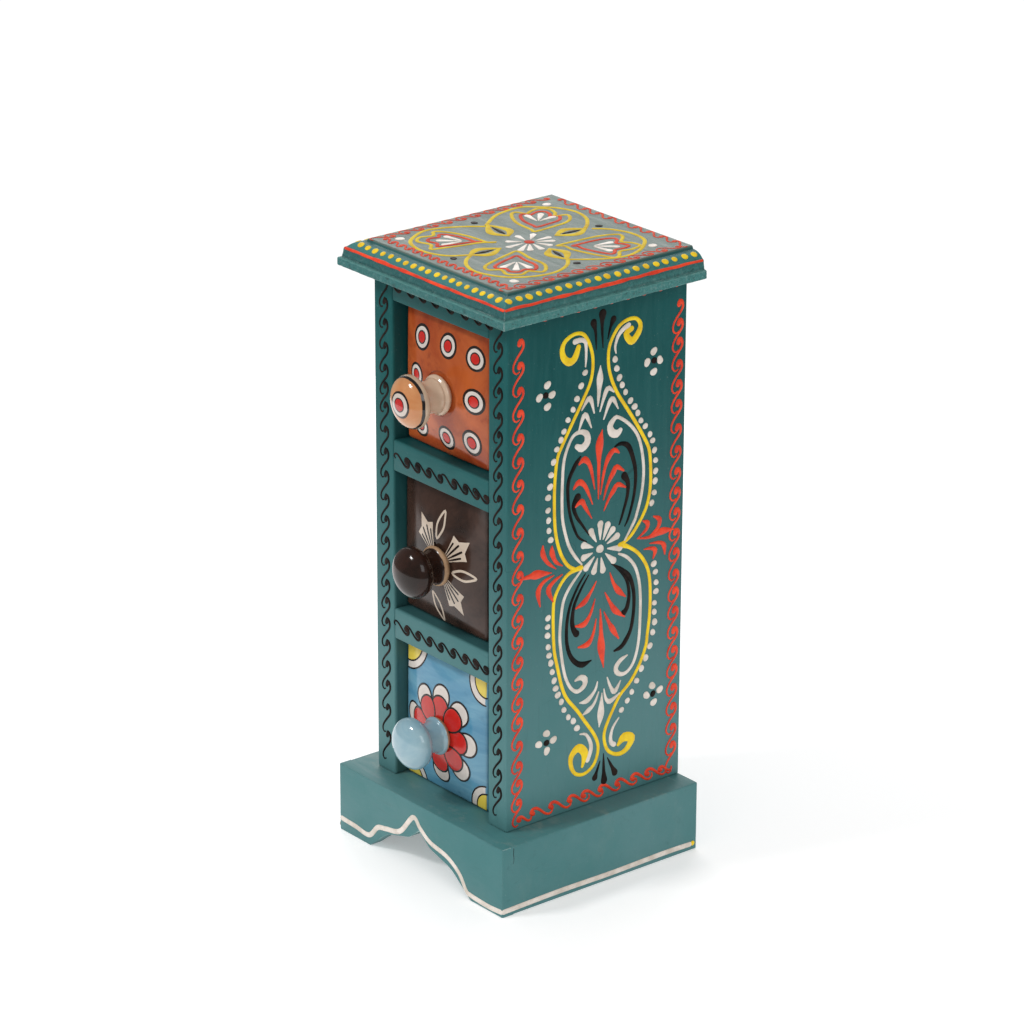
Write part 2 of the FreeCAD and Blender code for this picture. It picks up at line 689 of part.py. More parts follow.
def make_knob_hardware(name, axis_x, axis_z):
    """Stud, washer and nut that hold a knob to the front wall of its drawer."""
    wall_y = "(drawer_recess + drawer_wall)"
    stud_start = f"({SEAT_Y} - stud_in_knob)"
    stud_length = f"{wall_y} + washer_thickness + nut_height + stud_end - {stud_start}"
    y = from_front(stud_start)
    stud = round_bar(f"{name}_knob_stud", "stud_radius", stud_length, axis_x, y, axis_z, "Y")
    stud.Label = f"{name}_knob_stud"

    disc = round_bar(
        f"{name}_disc", "washer_radius", "washer_thickness", axis_x, from_front(wall_y), axis_z, "Y"
    )
    eye = round_bar(
        f"{name}_eye", "stud_radius", "washer_thickness", axis_x, from_front(wall_y), axis_z, "Y"
    )
    washer = drill(f"{name}_knob_washer", disc, [eye])

    nut_y = from_front(f"{wall_y} + washer_thickness")
    prism = document.addObject("Part::Prism", f"{name}_prism")
    prism.Polygon = 6
    bind(prism, Circumradius="nut_circle", Height="nut_height")
    place(prism, axis_x, nut_y, axis_z)
    prism.Placement.Rotation = FreeCAD.Rotation(FreeCAD.Vector(0, 0, 1), AXES["Y"])
    thread = round_bar(f"{name}_thread", "stud_radius", "nut_height", axis_x, nut_y, axis_z, "Y")
    nut = drill(f"{name}_knob_nut", prism, [thread])
    return [stud, washer, nut]


def build_cabinet():
    """Every piece of the wooden cabinet, with the room for its nails."""
    top_nails = make_top_nails()
    side_nails = make_side_nails()
    base_nails = make_base_nails()
    plinth_nails = make_plinth_nails()
    back_pins = make_back_pins()
    plinth_half = f"({HALF_WIDTH} + plinth_side_overhang)"
    base_width = f"(2 * ({plinth_half} - plinth_thickness))"
    base_depth = "(cabinet_depth + plinth_front_overhang - 2 * plinth_thickness)"
    base_y = from_front("plinth_thickness - plinth_front_overhang")
    boards = [
        ("top_board", make_top_board(), [top_nails]),
        (
            "cabinet_top",
            make_shelf("cabinet_top", "cabinet_top_thickness", CABINET_TOP_Z),
            [top_nails, side_nails, back_pins],
        ),
        ("left_side", make_side("left_side", f"-{HALF_WIDTH}"), [side_nails, base_nails]),
        (
            "right_side",
            make_side("right_side", f"{HALF_WIDTH} - side_thickness"),
            [side_nails, base_nails],
        ),
        (
            "upper_shelf",
            make_shelf("upper_shelf", "shelf_thickness", UPPER_SHELF_Z),
            [side_nails, back_pins],
        ),
        (
            "lower_shelf",
            make_shelf("lower_shelf", "shelf_thickness", LOWER_SHELF_Z),
            [side_nails, back_pins],
        ),
        (
            "back_panel",
            board(
                "back_panel_board", OPENING_WIDTH, "back_thickness", f"{BOX_TOP_Z} - plinth_height",
                INNER_LEFT, from_front(INNER_DEPTH), "plinth_height",
            ),
            [back_pins],
        ),
        (
            "base_board",
            board(
                "base_board_board", base_width, base_depth, "base_thickness",
                f"-{base_width} / 2", base_y, "plinth_height - base_thickness",
            ),
            [base_nails, plinth_nails],
        ),
        ("plinth_front", make_plinth_front(), [plinth_nails]),
        ("plinth_left", make_plinth_side("plinth_left", f"-{plinth_half}"), [plinth_nails]),
        (
            "plinth_right",
            make_plinth_side("plinth_right", f"{plinth_half} - plinth_thickness"),
            [plinth_nails],
        ),
        (
            "plinth_back",
            board(
                "plinth_back_board", base_width, "plinth_thickness", "plinth_height",
                f"-{base_width} / 2", from_front("cabinet_depth - plinth_thickness"), "0",
            ),
            [plinth_nails],
        ),
    ]
    pieces = [top_nails, side_nails, base_nails, plinth_nails, back_pins]
    for label, body, nails in boards:
        pieces.append(drill(label, body, nails))
    return pieces


def build_drawers():
    pieces = []
    for name in DRAWERS:
        box, axis_x, axis_z = make_drawer_box(name)
        pieces.append(box)
        pieces.append(make_knob(name, axis_x, axis_z))
        pieces.extend(make_knob_hardware(name, axis_x, axis_z))
    return pieces


def check(pieces):
    """Stop unless every object computed and every piece is a sound shape."""
    for item in document.Objects:
        if "Invalid" in item.State or "Error" in item.State:
            raise RuntimeError(f"{item.Label} did not compute: {item.State}")
    for piece in pieces:
        if piece.Shape.isNull() or not piece.Shape.isValid() or not piece.Shape.Solids:
            raise RuntimeError(f"{piece.Label} has no sound shape")


parts = build_cabinet() + build_drawers()
document.recompute()
check(parts)
os.makedirs("parts", exist_ok=True)
for part in parts:
    part.Shape.exportStep(f"parts/{part.Label}.step")
    box = part.Shape.BoundBox
    print(f"{part.Label}: {len(part.Shape.Solids)} solids, {box}")
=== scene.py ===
import math
import random

import bmesh
import bpy
from mathutils import Matrix, Vector


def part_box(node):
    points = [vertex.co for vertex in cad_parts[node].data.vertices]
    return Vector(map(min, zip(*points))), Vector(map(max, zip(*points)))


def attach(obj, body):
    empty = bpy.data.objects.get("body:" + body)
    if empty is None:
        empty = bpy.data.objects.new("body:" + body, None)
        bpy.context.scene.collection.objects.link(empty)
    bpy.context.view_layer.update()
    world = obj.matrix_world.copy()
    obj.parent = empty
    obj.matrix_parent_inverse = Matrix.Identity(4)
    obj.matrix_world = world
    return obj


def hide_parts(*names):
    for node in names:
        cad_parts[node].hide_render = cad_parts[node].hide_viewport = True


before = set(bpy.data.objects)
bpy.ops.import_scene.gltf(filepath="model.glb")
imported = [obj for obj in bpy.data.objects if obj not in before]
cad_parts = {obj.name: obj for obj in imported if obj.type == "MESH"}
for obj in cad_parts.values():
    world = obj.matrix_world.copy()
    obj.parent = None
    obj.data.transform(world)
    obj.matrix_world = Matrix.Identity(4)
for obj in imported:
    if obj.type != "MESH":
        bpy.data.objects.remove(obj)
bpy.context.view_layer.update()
chance = random.Random(7)

# Sizes in millimetres
MM = 0.001
RELIEF = 0.35                   # thickness of the painted ornament
FRONT = -39.4                   # front edges of the cabinet's boards
MIDDLE = 9.6                    # middle of the cabinet from front to back
SIDE = 45.0                     # outer faces of the cabinet's sides
PLINTH_FRONT = -51.6            # front face of the plinth
PLINTH_SIDE = 57.6 - RELIEF     # end faces of the plinth, under their painted line
TOP_FOOT = 264.0                # underside of the top board
FIELD = 276.9 - RELIEF          # flat field of the top board
SEAT = -36.8                    # flat of the drawer fronts that the knobs stand on
BAND_RUN, BAND_RISE = 5.4, 2.75     # depth and height of the sloping band round the top
BORE_RADIUS, BORE_DEPTH = 2.0, 9.0  # hole in each knob for its stud
KNOB_AXES = {"upper": (-2.4, 218.1), "middle": (-3.9, 140.1), "lower": (-3.6, 60.7)}


# Materials

def srgb(red, green, blue):
    """Linear colour of a shade named in 0 to 255."""
    parts = [value / 255 for value in (red, green, blue)]
    return tuple(p / 12.92 if p <= 0.04045 else ((p + 0.055) / 1.055) ** 2.4 for p in parts)


class Look:
    """A procedural material, built up from small node helpers. Lengths on its axes are in metres."""

    def __init__(self, name):
        self.material = bpy.data.materials.new(name)
        self.material.use_nodes = True
        self.nodes = self.material.node_tree.nodes
        self.links = self.material.node_tree.links
        self.skin = self.nodes["Principled BSDF"]
        self.place = self.nodes.new("ShaderNodeTexCoord").outputs["Object"]
        self.colour = None

    def put(self, value, socket):
        if isinstance(value, bpy.types.NodeSocket):
            self.links.new(value, socket)
        elif isinstance(value, tuple):
            socket.default_value = (*value, 1.0)
        else:
            socket.default_value = value

    def noise(self, scale, detail, rough, stretch=None, distortion=0.0):
        node = self.nodes.new("ShaderNodeTexNoise")
        place = self.place
        if stretch:
            mapping = self.nodes.new("ShaderNodeMapping")
            self.links.new(place, mapping.inputs["Vector"])
            mapping.inputs["Scale"].default_value = stretch
            place = mapping.outputs["Vector"]
        self.links.new(place, node.inputs["Vector"])
        for name, number in (("Scale", scale), ("Detail", detail), ("Roughness", rough),
                             ("Distortion", distortion)):
            node.inputs[name].default_value = number
        return node.outputs["Fac"]

    def cells(self, scale):
        node = self.nodes.new("ShaderNodeTexVoronoi")
        self.links.new(self.place, node.inputs["Vector"])
        node.inputs["Scale"].default_value = scale
        return node.outputs["Distance"]

    def range(self, value, low, high, to_low=0.0, to_high=1.0):
        """A smooth step from one value to another."""
        node = self.nodes.new("ShaderNodeMapRange")
        node.interpolation_type = "SMOOTHSTEP"
        self.put(value, node.inputs["Value"])
        for name, number in (("From Min", low), ("From Max", high),
                             ("To Min", to_low), ("To Max", to_high)):
            node.inputs[name].default_value = number
        return node.outputs["Result"]

    def calc(self, operation, first, second=0.0):
        node = self.nodes.new("ShaderNodeMath")
        node.operation = operation
        self.put(first, node.inputs[0])
        self.put(second, node.inputs[1])
        return node.outputs["Value"]

    def times(self, first, second):
        return self.calc("MULTIPLY", first, second)

    def distance(self, value, middle):
        """How far a value is from a middle, on either side."""
        return self.calc("ABSOLUTE", self.calc("SUBTRACT", value, middle))

    def mix(self, share, first, second):
        node = self.nodes.new("ShaderNodeMix")
        node.data_type = "RGBA"
        self.put(share, node.inputs["Factor"])
        self.put(first, node.inputs["A"])
        self.put(second, node.inputs["B"])
        return node.outputs["Result"]

    def over(self, share, shade):
        """Lay a shade over the colour so far."""
        self.colour = self.mix(share, self.colour, shade)

    def axis(self, name):
        node = self.nodes.new("ShaderNodeSeparateXYZ")
        self.links.new(self.place, node.inputs["Vector"])
        return node.outputs[name]

    def edges(self, radius):
        """1 near the edges of the piece, 0 on its flats."""
        soft = self.nodes.new("ShaderNodeBevel")
        soft.samples = 4
        soft.inputs["Radius"].default_value = radius
        plain = self.nodes.new("ShaderNodeNewGeometry")
        dot = self.nodes.new("ShaderNodeVectorMath")
        dot.operation = "DOT_PRODUCT"
        self.links.new(soft.outputs["Normal"], dot.inputs[0])
        self.links.new(plain.outputs["Normal"], dot.inputs[1])
        return self.range(self.calc("SUBTRACT", 1.0, dot.outputs["Value"]), 0.02, 0.25)

    def bump(self, height, strength, distance, under=None):
        node = self.nodes.new("ShaderNodeBump")
        node.inputs["Strength"].default_value = strength
        node.inputs["Distance"].default_value = distance
        self.links.new(height, node.inputs["Height"])
        if under is not None:
            self.links.new(under, node.inputs["Normal"])
        return node.outputs["Normal"]

    def finish(self, rough, normal=None, **plain):
        self.put(self.colour, self.skin.inputs["Base Color"])
        self.put(rough, self.skin.inputs["Roughness"])
        if normal is not None:
            self.links.new(normal, self.skin.inputs["Normal"])
        for name, number in plain.items():
            self.skin.inputs[name.replace("_", " ")].default_value = number
        return self.material


# Lines of painted light and shade round the top's edge: heights at which each comes and goes, its share and its
# shade
EDGE_LIGHT_AND_SHADE = (
    ((0.2673, 0.2675, 0.2679, 0.2681), 0.34, (120, 184, 176)),      # lip of the fillet: painted highlight
    ((0.2680, 0.2682, 0.2687, 0.2692), 0.26, (2, 56, 60)),          # foot of the riser: painted shade
    ((0.2722, 0.2728, 0.2748, 0.2752), 0.35, (56, 148, 144)),       # band with the dots: painted light
    ((0.2747, 0.2750, 0.2757, 0.2760), 0.45, (4, 88, 88)),          # step up to the field: painted shade
)


def edge_grit_and_painted_light(look):
    """The top's edge: gritty paint low down with painted highlights and darker flecks on its grit, painted
    light from below that is paler on its sides, and a warm grey tint over the field.
    """
    height = look.axis("Z")
    low_part = look.range(height, 0.2684, 0.2725, 1.0, 0.0)
    from_side = look.calc("SUBTRACT", 0.0561, look.calc("ABSOLUTE", look.axis("X")))
    from_front = look.calc("ADD", look.axis("Y"), 0.0504)
    beside = look.range(look.calc("SUBTRACT", from_front, from_side), -0.0002, 0.0002)
    # Painted light from below on the lower part of the edge, paler on the sides than on the front
    look.over(look.times(low_part, look.range(beside, 0.0, 1.0, 0.06, 0.40)), srgb(84, 164, 158))
    # Painted light on the lowest round of the fillet
    look.over(look.range(height, 0.2674, 0.2678, 0.20, 0.0), srgb(60, 150, 146))
    grit = look.noise(430, 4, 0.7)
    # Painted highlights on the gritty paint
    grit_highlights = look.times(look.range(grit, 0.54, 0.68), look.range(beside, 0.0, 1.0, 0.26, 0.45))
    look.over(look.times(low_part, grit_highlights), srgb(126, 166, 160))
    # Darker flecks in the grit on the lower part of the edge
    look.over(look.times(low_part, look.range(grit, 0.32, 0.45, 0.6, 0.0)), srgb(4, 54, 56))
    # Painted highlight, light and shade along the lines of the moulding
    for (rise, full, fall, gone), share, shade in EDGE_LIGHT_AND_SHADE:
        line = look.times(look.range(height, rise, full), look.range(height, fall, gone, 1.0, 0.0))
        look.over(look.times(line, share), srgb(*shade))
    # A warm grey tint over the field
    look.over(look.range(height, 0.2758, 0.2763, 0.0, 0.26), srgb(146, 116, 84))


def teal_paint(name, stretch, tone=1.0, shine=0.22, part=""):
    """Brushed teal paint: streaks along the board, painted lighter towards the bottom, and thin and pale on its
    edges as worn paint with a painted highlight.

    The part is the top, the plinth, or the walls or tops of the openings, which get painted shade behind their
    front edges.
    """
    def shade(*values):
        return tuple(tone * c for c in srgb(*values))

    look = Look(name)
    plinth = part == "plinth"
    patches = look.noise(14, 5, 0.6)
    streaks = look.noise(60, 6, 0.65, stretch, 0.4)
    # Paler towards the bottom, deeper towards the top: painted light from the floor's bounce and reflection
    look.colour = look.mix(look.range(look.axis("Z"), 0.03, 0.235), shade(86, 130, 132), shade(10, 80, 80))
    look.over(look.range(patches, 0.35, 0.7, 0.0, 0.42 if plinth else 0.28), shade(30, 108, 108))
    look.over(look.range(streaks, 0.4, 0.75, 0.0, 0.10), shade(84, 136, 132))
    look.over(look.range(streaks, 0.25, 0.45, 0.16, 0.0), shade(12, 62, 64))
    crease = look.distance(look.noise(26, 2, 0.4, (1, 1, 2.2), 0.8), 0.5)
    crease = look.times(look.range(crease, 0.0, 0.0035, 1.0, 0.0), look.range(patches, 0.52, 0.60))
    look.over(look.times(crease, 0.12 if plinth else 0.4), shade(10, 50, 52))
    if part == "top":
        edge_grit_and_painted_light(look)
    # Edge mask for worn paint and for a painted highlight along the arrises
    wear = look.times(look.edges(0.0009), look.range(look.noise(90, 5, 0.7), 0.38, 0.62, 0.15, 1.0))
    if part in ("walls", "tops"):
        # Painted shade inside the openings, behind their front edges
        depth = look.range(look.axis("Y"), -0.0388, -0.0376)
        if part == "walls":
            inside = look.range(look.calc("ABSOLUTE", look.axis("X")), 0.0324, 0.0332, 1.0, 0.0)
            depth = look.times(depth, inside)
        look.over(look.times(depth, 0.55), srgb(2, 50, 54))
    if plinth:
        worn = look.range(look.noise(38, 5, 0.7, (1, 1.6, 1)), 0.52, 0.68)
        worn = look.times(worn, look.range(look.axis("Z"), 0.0313, 0.0319, 0.06, 0.40))
        look.over(worn, srgb(140, 152, 144))
        front_seam = look.range(look.distance(look.axis("Y"), -0.0453), 0.0012, 0.0018)
        side_seam = look.distance(look.calc("ABSOLUTE", look.axis("X")), 0.0513)
        wear = look.times(wear, look.times(front_seam, look.range(side_seam, 0.0012, 0.0018)))
    # Paler edges: worn paint and a painted highlight
    look.over(look.times(wear, 0.9), srgb(158, 180, 176))
    specks = look.range(look.noise(900, 2, 0.5), 0.70, 0.76)
    look.over(look.times(specks, 0.25), srgb(120, 150, 148))
    normal = look.bump(streaks, 0.25, 0.0005)
    normal = look.bump(look.noise(420, 3, 0.6), 0.18, 0.0002, normal)
    if part == "top":
        coarse = look.noise(330, 5, 0.7, (1, 1, 0.7))
        coarse = look.times(coarse, look.range(look.axis("Z"), 0.2715, 0.2735, 1.0, 0.12))
        normal = look.bump(coarse, 1.0, 0.0020, normal)
    return look.finish(look.range(streaks, 0.2, 0.8, 0.42, 0.60), normal, Specular_IOR_Level=shine)


def enamel(name, colour, dark, rough=0.38, shine=0.36):
    """Thick brushed ornament paint, a little uneven in tone."""
    look = Look(name)
    patches = look.noise(160, 4, 0.6)
    fine = look.noise(900, 3, 0.6)
    look.colour = look.mix(look.range(patches, 0.35, 0.7), srgb(*colour), srgb(*dark))
    normal = look.bump(fine, 0.25, 0.0002)
    normal = look.bump(patches, 0.5, 0.0005, normal)
    return look.finish(look.range(fine, 0.3, 0.7, rough - 0.06, rough + 0.1), normal,
                       Specular_IOR_Level=shine)


def glaze(name, colour, second, dark, scale=60, stretch=(1, 1, 1), rough=0.10, mottle=0.6, shine=0.5):
    """Glossy glaze over clay: cloudy tone, thin on edges, gentle waves and pinholes."""
    look = Look(name)
    clouds = look.noise(scale, 5, 0.6, stretch, 0.6)
    spots = look.noise(scale * 6, 4, 0.6)
    look.colour = look.mix(look.range(clouds, 0.32, 0.68, 0.0, mottle), srgb(*colour), srgb(*second))
    look.over(look.range(spots, 0.55, 0.75, 0.0, 0.35), srgb(*dark))
    look.over(look.times(look.edges(0.0012), 0.35), srgb(*second))
    normal = look.bump(look.noise(70, 2, 0.4), 0.15, 0.0012)
    normal = look.bump(look.range(look.cells(700), 0.0, 0.12), 0.15, 0.0001, normal)
    return look.finish(look.range(spots, 0.3, 0.7, rough, rough + 0.08), normal,
                       Specular_IOR_Level=shine, Coat_Weight=0.12, Coat_Roughness=0.05)


def steel(name):
    """Bright wire and washers, brushed and a little stained."""
    look = Look(name)
    brushed = look.noise(300, 4, 0.6, (1, 1, 8))
    look.colour = look.mix(look.range(look.noise(90, 4, 0.6), 0.4, 0.7), srgb(178, 180, 182),
                           srgb(122, 120, 114))
    return look.finish(look.range(brushed, 0.3, 0.7, 0.28, 0.45), look.bump(brushed, 0.2, 0.0001),
                       Metallic=1.0)


ALONG_Z, ALONG_X = (6, 6, 0.7), (0.7, 6, 6)
teal_upright = teal_paint("teal_upright", ALONG_Z, part="walls")
teal_across = teal_paint("teal_across", ALONG_X, part="tops")
teal_top = teal_paint("teal_top", ALONG_X, 1.22, 0.7, "top")
teal_plinth = teal_paint("teal_plinth", ALONG_X, part="plinth")
nail_steel = steel("nail_steel")
cream = enamel("cream_enamel", (234, 223, 213), (208, 196, 183))
yellow = enamel("yellow_enamel", (250, 214, 16), (230, 186, 14))
red = enamel("red_enamel", (242, 70, 30), (208, 48, 22))
band_yellow = enamel("band_yellow_enamel", (244, 208, 18), (220, 176, 16), 0.42, 0.32)
top_yellow = enamel("top_yellow_enamel", (218, 190, 34), (198, 164, 28), 0.6, 0.12)
top_red = enamel("top_red_enamel", (216, 78, 46), (188, 54, 32), 0.6, 0.10)
black = enamel("black_enamel", (18, 14, 12), (42, 29, 24), 0.55, 0.12)
amber = glaze("amber_glaze", (146, 54, 20), (184, 92, 44), (100, 30, 12), 34, mottle=1.0, shine=0.4)
night = glaze("black_glaze", (36, 23, 17), (72, 50, 41), (20, 13, 10), 34, rough=0.16, mottle=0.9,
              shine=0.28)
sky = glaze("blue_glaze", (72, 132, 164), (112, 162, 184), (48, 100, 134), 30, (0.5, 1, 3), mottle=0.9,
            shine=0.42)
glass_white = glaze("white_glaze", (208, 198, 190), (222, 214, 206), (176, 164, 154))
glass_red = glaze("red_glaze", (190, 30, 26), (206, 52, 42), (136, 16, 14), 90, shine=0.4)
glass_yellow = glaze("yellow_glaze", (218, 192, 62), (226, 204, 92), (188, 152, 44))
glass_black = glaze("line_glaze", (30, 24, 22), (44, 36, 32), (16, 12, 12), shine=0.3)
glass_cream = glaze("cream_glaze", (198, 180, 162), (208, 192, 174), (160, 140, 122))


# Mesh helpers

def added(name, data):
    """A new object in the scene."""
    thing = bpy.data.objects.new(name, data)
    bpy.context.scene.collection.objects.link(thing)
    return thing


def piece(name, shape, material, body="cabinet", sharp=60):
    """One object from a bmesh, riding on a body."""
    bmesh.ops.recalc_face_normals(shape, faces=shape.faces)
    mesh = bpy.data.meshes.new(name)
    shape.to_mesh(mesh)
    shape.free()
    mesh.shade_smooth()
    mesh.set_sharp_from_angle(angle=math.radians(sharp))
    thing = added(name, mesh)
    mesh.materials.append(material)
    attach(thing, body)
    return thing


def new_shapes(count):
    return [bmesh.new() for _ in range(count)]


def corners(node):
    """A node's lowest and highest corner in millimetres."""
    low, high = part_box(node)
    return [value / MM for value in low], [value / MM for value in high]


def loft(shape, rings, closed=False):
    """Faces between rings of vertices, in order."""
    count = len(rings[0])
    for one, two in zip(rings, rings[1:] + rings[:1] if closed else rings[1:]):
        for k in range(count):
            shape.faces.new((one[k], one[(k + 1) % count], two[(k + 1) % count], two[k]))


def fan(shape, ring, tip):
    """Faces from a ring of vertices to one point."""
    for k in range(len(ring)):
        shape.faces.new((ring[k], ring[(k + 1) % len(ring)], tip))


def middle_of(points):
    return sum((Vector(p) for p in points), Vector((0, 0))) / len(points)


def soft_slab(low, high, radius, outer=None):
    """A board with gently worn edges, from its two corners. Outer keeps the wear to one face."""
    shape = bmesh.new()
    bmesh.ops.create_cube(shape, size=1.0)
    for vertex in shape.verts:
        for k in range(3):
            vertex.co[k] = (low[k] if vertex.co[k] < 0 else high[k]) * MM
    worn = shape.edges[:]
    if outer is not None:
        worn = [e for e in worn if all(abs(v.co.x - outer * MM) < 1e-6 for v in e.verts)
                and abs(e.verts[0].co.y - e.verts[1].co.y) > 1e-3]
    bmesh.ops.bevel(shape, geom=worn, offset=radius * MM, segments=3, profile=0.5,
                    affect="EDGES", clamp_overlap=True)
    return shape


def smooth_line(points, widths, closed, step):
    """Even points and widths along a smooth line through the given ones."""
    count = len(points)

    def pick(k):
        return k % count if closed else min(max(k, 0), count - 1)

    result = []
    for k in range(count if closed else count - 1):
        p0, p1, p2, p3 = (Vector(points[pick(k + j)]) for j in (-1, 0, 1, 2))
        w1, w2 = widths[pick(k)], widths[pick(k + 1)]
        parts = max(2, int(round((p2 - p1).length / step)))
        for j in range(parts):
            t = j / parts
            spot = 0.5 * ((2 * p1) + (p2 - p0) * t + (2 * p0 - 5 * p1 + 4 * p2 - p3) * t * t
                          + (3 * p1 - p0 - 3 * p2 + p3) * t ** 3)
            ease = t * t * (3 - 2 * t)
            result.append((spot, w1 + (w2 - w1) * ease))
    if not closed:
        result.append((Vector(points[-1]), widths[-1]))
    return result


# Section of a brush line, in shares of its half width and height
DOME = [(-1.0, -0.25), (-1.0, 0.12), (-0.78, 0.62), (-0.4, 0.93), (0.0, 1.0),
        (0.4, 0.93), (0.78, 0.62), (1.0, 0.12), (1.0, -0.25)]
ROUND_END = (1.5, 1.1, 0.7, 0.35)


def end_cap(spot, half, way, sign):
    """Narrowing sections that round off an end of a line, outermost first."""
    return [(spot + sign * way * half * math.sin(a), half * math.cos(a), way, math.cos(a))
            for a in ROUND_END]


def stroke(shape, points, width, surface, closed=False, height=RELIEF, base=0.0, step=1.1):
    """A raised brush line with round ends on a surface."""
    widths = width if isinstance(width, list) else [width] * len(points)
    line = smooth_line(points, widths, closed, step)
    spots = []
    for k, (spot, wide) in enumerate(line):
        before = line[k - 1][0] if (k > 0 or closed) else spot
        after = line[(k + 1) % len(line)][0] if (k < len(line) - 1 or closed) else spot
        way = after - before
        way = way.normalized() if way.length > 1e-9 else Vector((1, 0))
        spots.append((spot, wide / 2, way, 1.0))
    if not closed:
        spots = end_cap(*spots[0][:3], -1) + spots + end_cap(*spots[-1][:3], 1)[::-1]
    rings = []
    for spot, half, way, full in spots:
        across = Vector((-way.y, way.x))
        tall = height * min(1.0, 0.35 + 0.65 * math.sqrt(max(full, 0.0))) * min(1.0, 0.45 + half)
        ring = []
        for side, up in DOME:
            at = spot + across * side * half
            ring.append(shape.verts.new(surface(at.x, at.y, base + up * tall)))
        rings.append(ring)
    loft(shape, rings, closed)
    if not closed:
        shape.faces.new(rings[0][::-1])
        shape.faces.new(rings[-1])


def blot(shape, outline, surface, height=RELIEF, base=0.0, centre=None, flat=False):
    """A filled patch of paint with a soft edge, from its outline."""
    points = [Vector(p) for p in outline]
    middle = Vector(centre) if centre else middle_of(points)
    levels = ((1.0, -0.25), (1.0, 0.12), (0.94, 0.62), (0.85, 0.9), (0.6, 1.0 if flat else 0.97),
              (0.3, 1.0))
    rings = [[shape.verts.new(surface(*(middle + (p - middle) * share), base + up * height)) for p in points]
             for share, up in levels]
    loft(shape, rings)
    fan(shape, rings[-1], shape.verts.new(surface(middle.x, middle.y, base + height)))
    shape.faces.new(rings[0][::-1])


def dot(shape, at, radius, surface, wobble=0.07):
    """A round dab of paint, not quite a circle."""
    lean = chance.uniform(0, math.tau)
    rim = []
    for k in range(18):
        a = math.tau * k / 18
        r = radius * (1 + wobble * math.sin(a * 2 + lean) + 0.4 * wobble * math.sin(a * 3 - lean))
        rim.append((at[0] + r * math.cos(a), at[1] + r * math.sin(a)))
    blot(shape, rim, surface, centre=at)


def turned(points, at, angle=0.0, scale=1.0):
    """A motif moved to its place on the panel."""
    c, s = math.cos(angle), math.sin(angle)
    return [(at[0] + scale * (c * x - s * y), at[1] + scale * (s * x + c * y)) for x, y in points]


def row(shape, motif, widths, spots, surface, scale=1.0, step=1.1):
    """One brushed motif at each of the given spots."""
    for spot in spots:
        stroke(shape, turned(motif, spot, 0, scale), widths, surface, step=step)


def daisy(shape, hub, tips, gap, widths, surface):
    """Brushed petals from a gap round the hub out to their tips."""
    hub = Vector(hub)
    for tip in tips:
        tip = Vector(tip)
        start = hub + (tip - hub).normalized() * gap
        stroke(shape, [start, start.lerp(tip, 0.6), tip], widths, surface)


def circle(at, radius, parts, squash, lean=0.0):
    return turned([(radius * math.cos(math.tau * k / parts), squash * radius * math.sin(math.tau * k / parts))
                   for k in range(parts)], at, lean)


# Surfaces: two places along the panel and the height over it

def on_side(sign):
    return lambda u, v, h: Vector((sign * (SIDE + h), MIDDLE + u, v)) * MM


def on_plinth_side(sign):
    return lambda y, z, h: Vector((sign * (PLINTH_SIDE + h), y, z)) * MM


def on_front(x, z, h):
    return Vector((x, FRONT - h, z)) * MM


def on_apron(x, z, h):
    return Vector((x, PLINTH_FRONT - h, z)) * MM


def on_top(x, v, h):
    return Vector((x, MIDDLE + v, FIELD + 0.6 * h)) * MM


SLOPE = math.atan2(BAND_RISE, BAND_RUN)
# Strips of the top's moulding: inset and rise of the middle line, change across it and outwards, lift
BAND = (5.6, 9.87), (math.cos(SLOPE), math.sin(SLOPE)), (math.sin(SLOPE), math.cos(SLOPE)), 0.45
ARRIS = (2.25, 8.05), (0.6, 0.7), (0.75, 0.66), 0.0


def on_moulding(side, strip):
    """A strip of the moulding: a along the edge, b across it."""
    (inset, rise), (across_in, across_up), (out, up), lift = strip
    low, high = corners("top_board")

    def place(a, b, h):
        deep = inset + across_in * b - out * (h + lift)
        z = TOP_FOOT + rise + across_up * b + up * (h + lift)
        if side == "front":
            return Vector((a, low[1] + deep, z)) * MM
        return Vector((high[0] - deep if side == "right" else low[0] + deep, MIDDLE + a, z)) * MM
    return place


def on_drawer(x0, z0, height, width=56.0, crown=4.5, plane=-33.1, soft=1.6):
    """A drawer's crowned front: u across and v up from its lower left corner."""
    def place(u, v, h):
        across, up = min(max(u / width, 0), 1), min(max(v / height, 0), 1)
        swell = crown * 16 * across * (1 - across) * up * (1 - up)
        near = min(u, width - u, v, height - v)
        fall = 0.0
        if near < soft:
            part = soft - max(near, 0.0)
            fall = soft - math.sqrt(max(soft * soft - part * part, 0.0))
        return Vector((x0 + u, plane - swell - h + fall, z0 + v)) * MM
    return place


# Cabinet boards

def moulding_profile():
    """Inset and height above the board's foot, read from the edge of the top."""
    points = [(0.8 * (1 - math.sin(a)), 0.8 * (1 - math.cos(a)))
              for a in (math.radians(18 * k) for k in range(6))]
    points += [(0.0, 1.6), (0.0, 2.4), (0.0, 3.2), (0.1, 3.6), (0.4, 3.85), (0.9, 3.95), (1.3, 4.1),
               (1.45, 4.6), (1.6, 5.3), (1.75, 6.0), (1.85, 6.7), (1.9, 7.3), (2.0, 7.75),
               (2.35, 8.2), (2.9, 8.5)]
    for k in range(1, 10):
        t = k / 9
        bulge = 0.7 * math.sin(math.pi * t)
        points.append((2.9 + BAND_RUN * t - 0.45 * bulge, 8.5 + BAND_RISE * t + 0.85 * bulge))
    rise = FIELD - TOP_FOOT
    return points + [(8.55, 11.05), (8.8, 10.95), (9.0, 11.2), (9.15, 11.9), (9.4, 12.35), (9.8, rise),
                     (10.4, rise), (13.0, rise)]


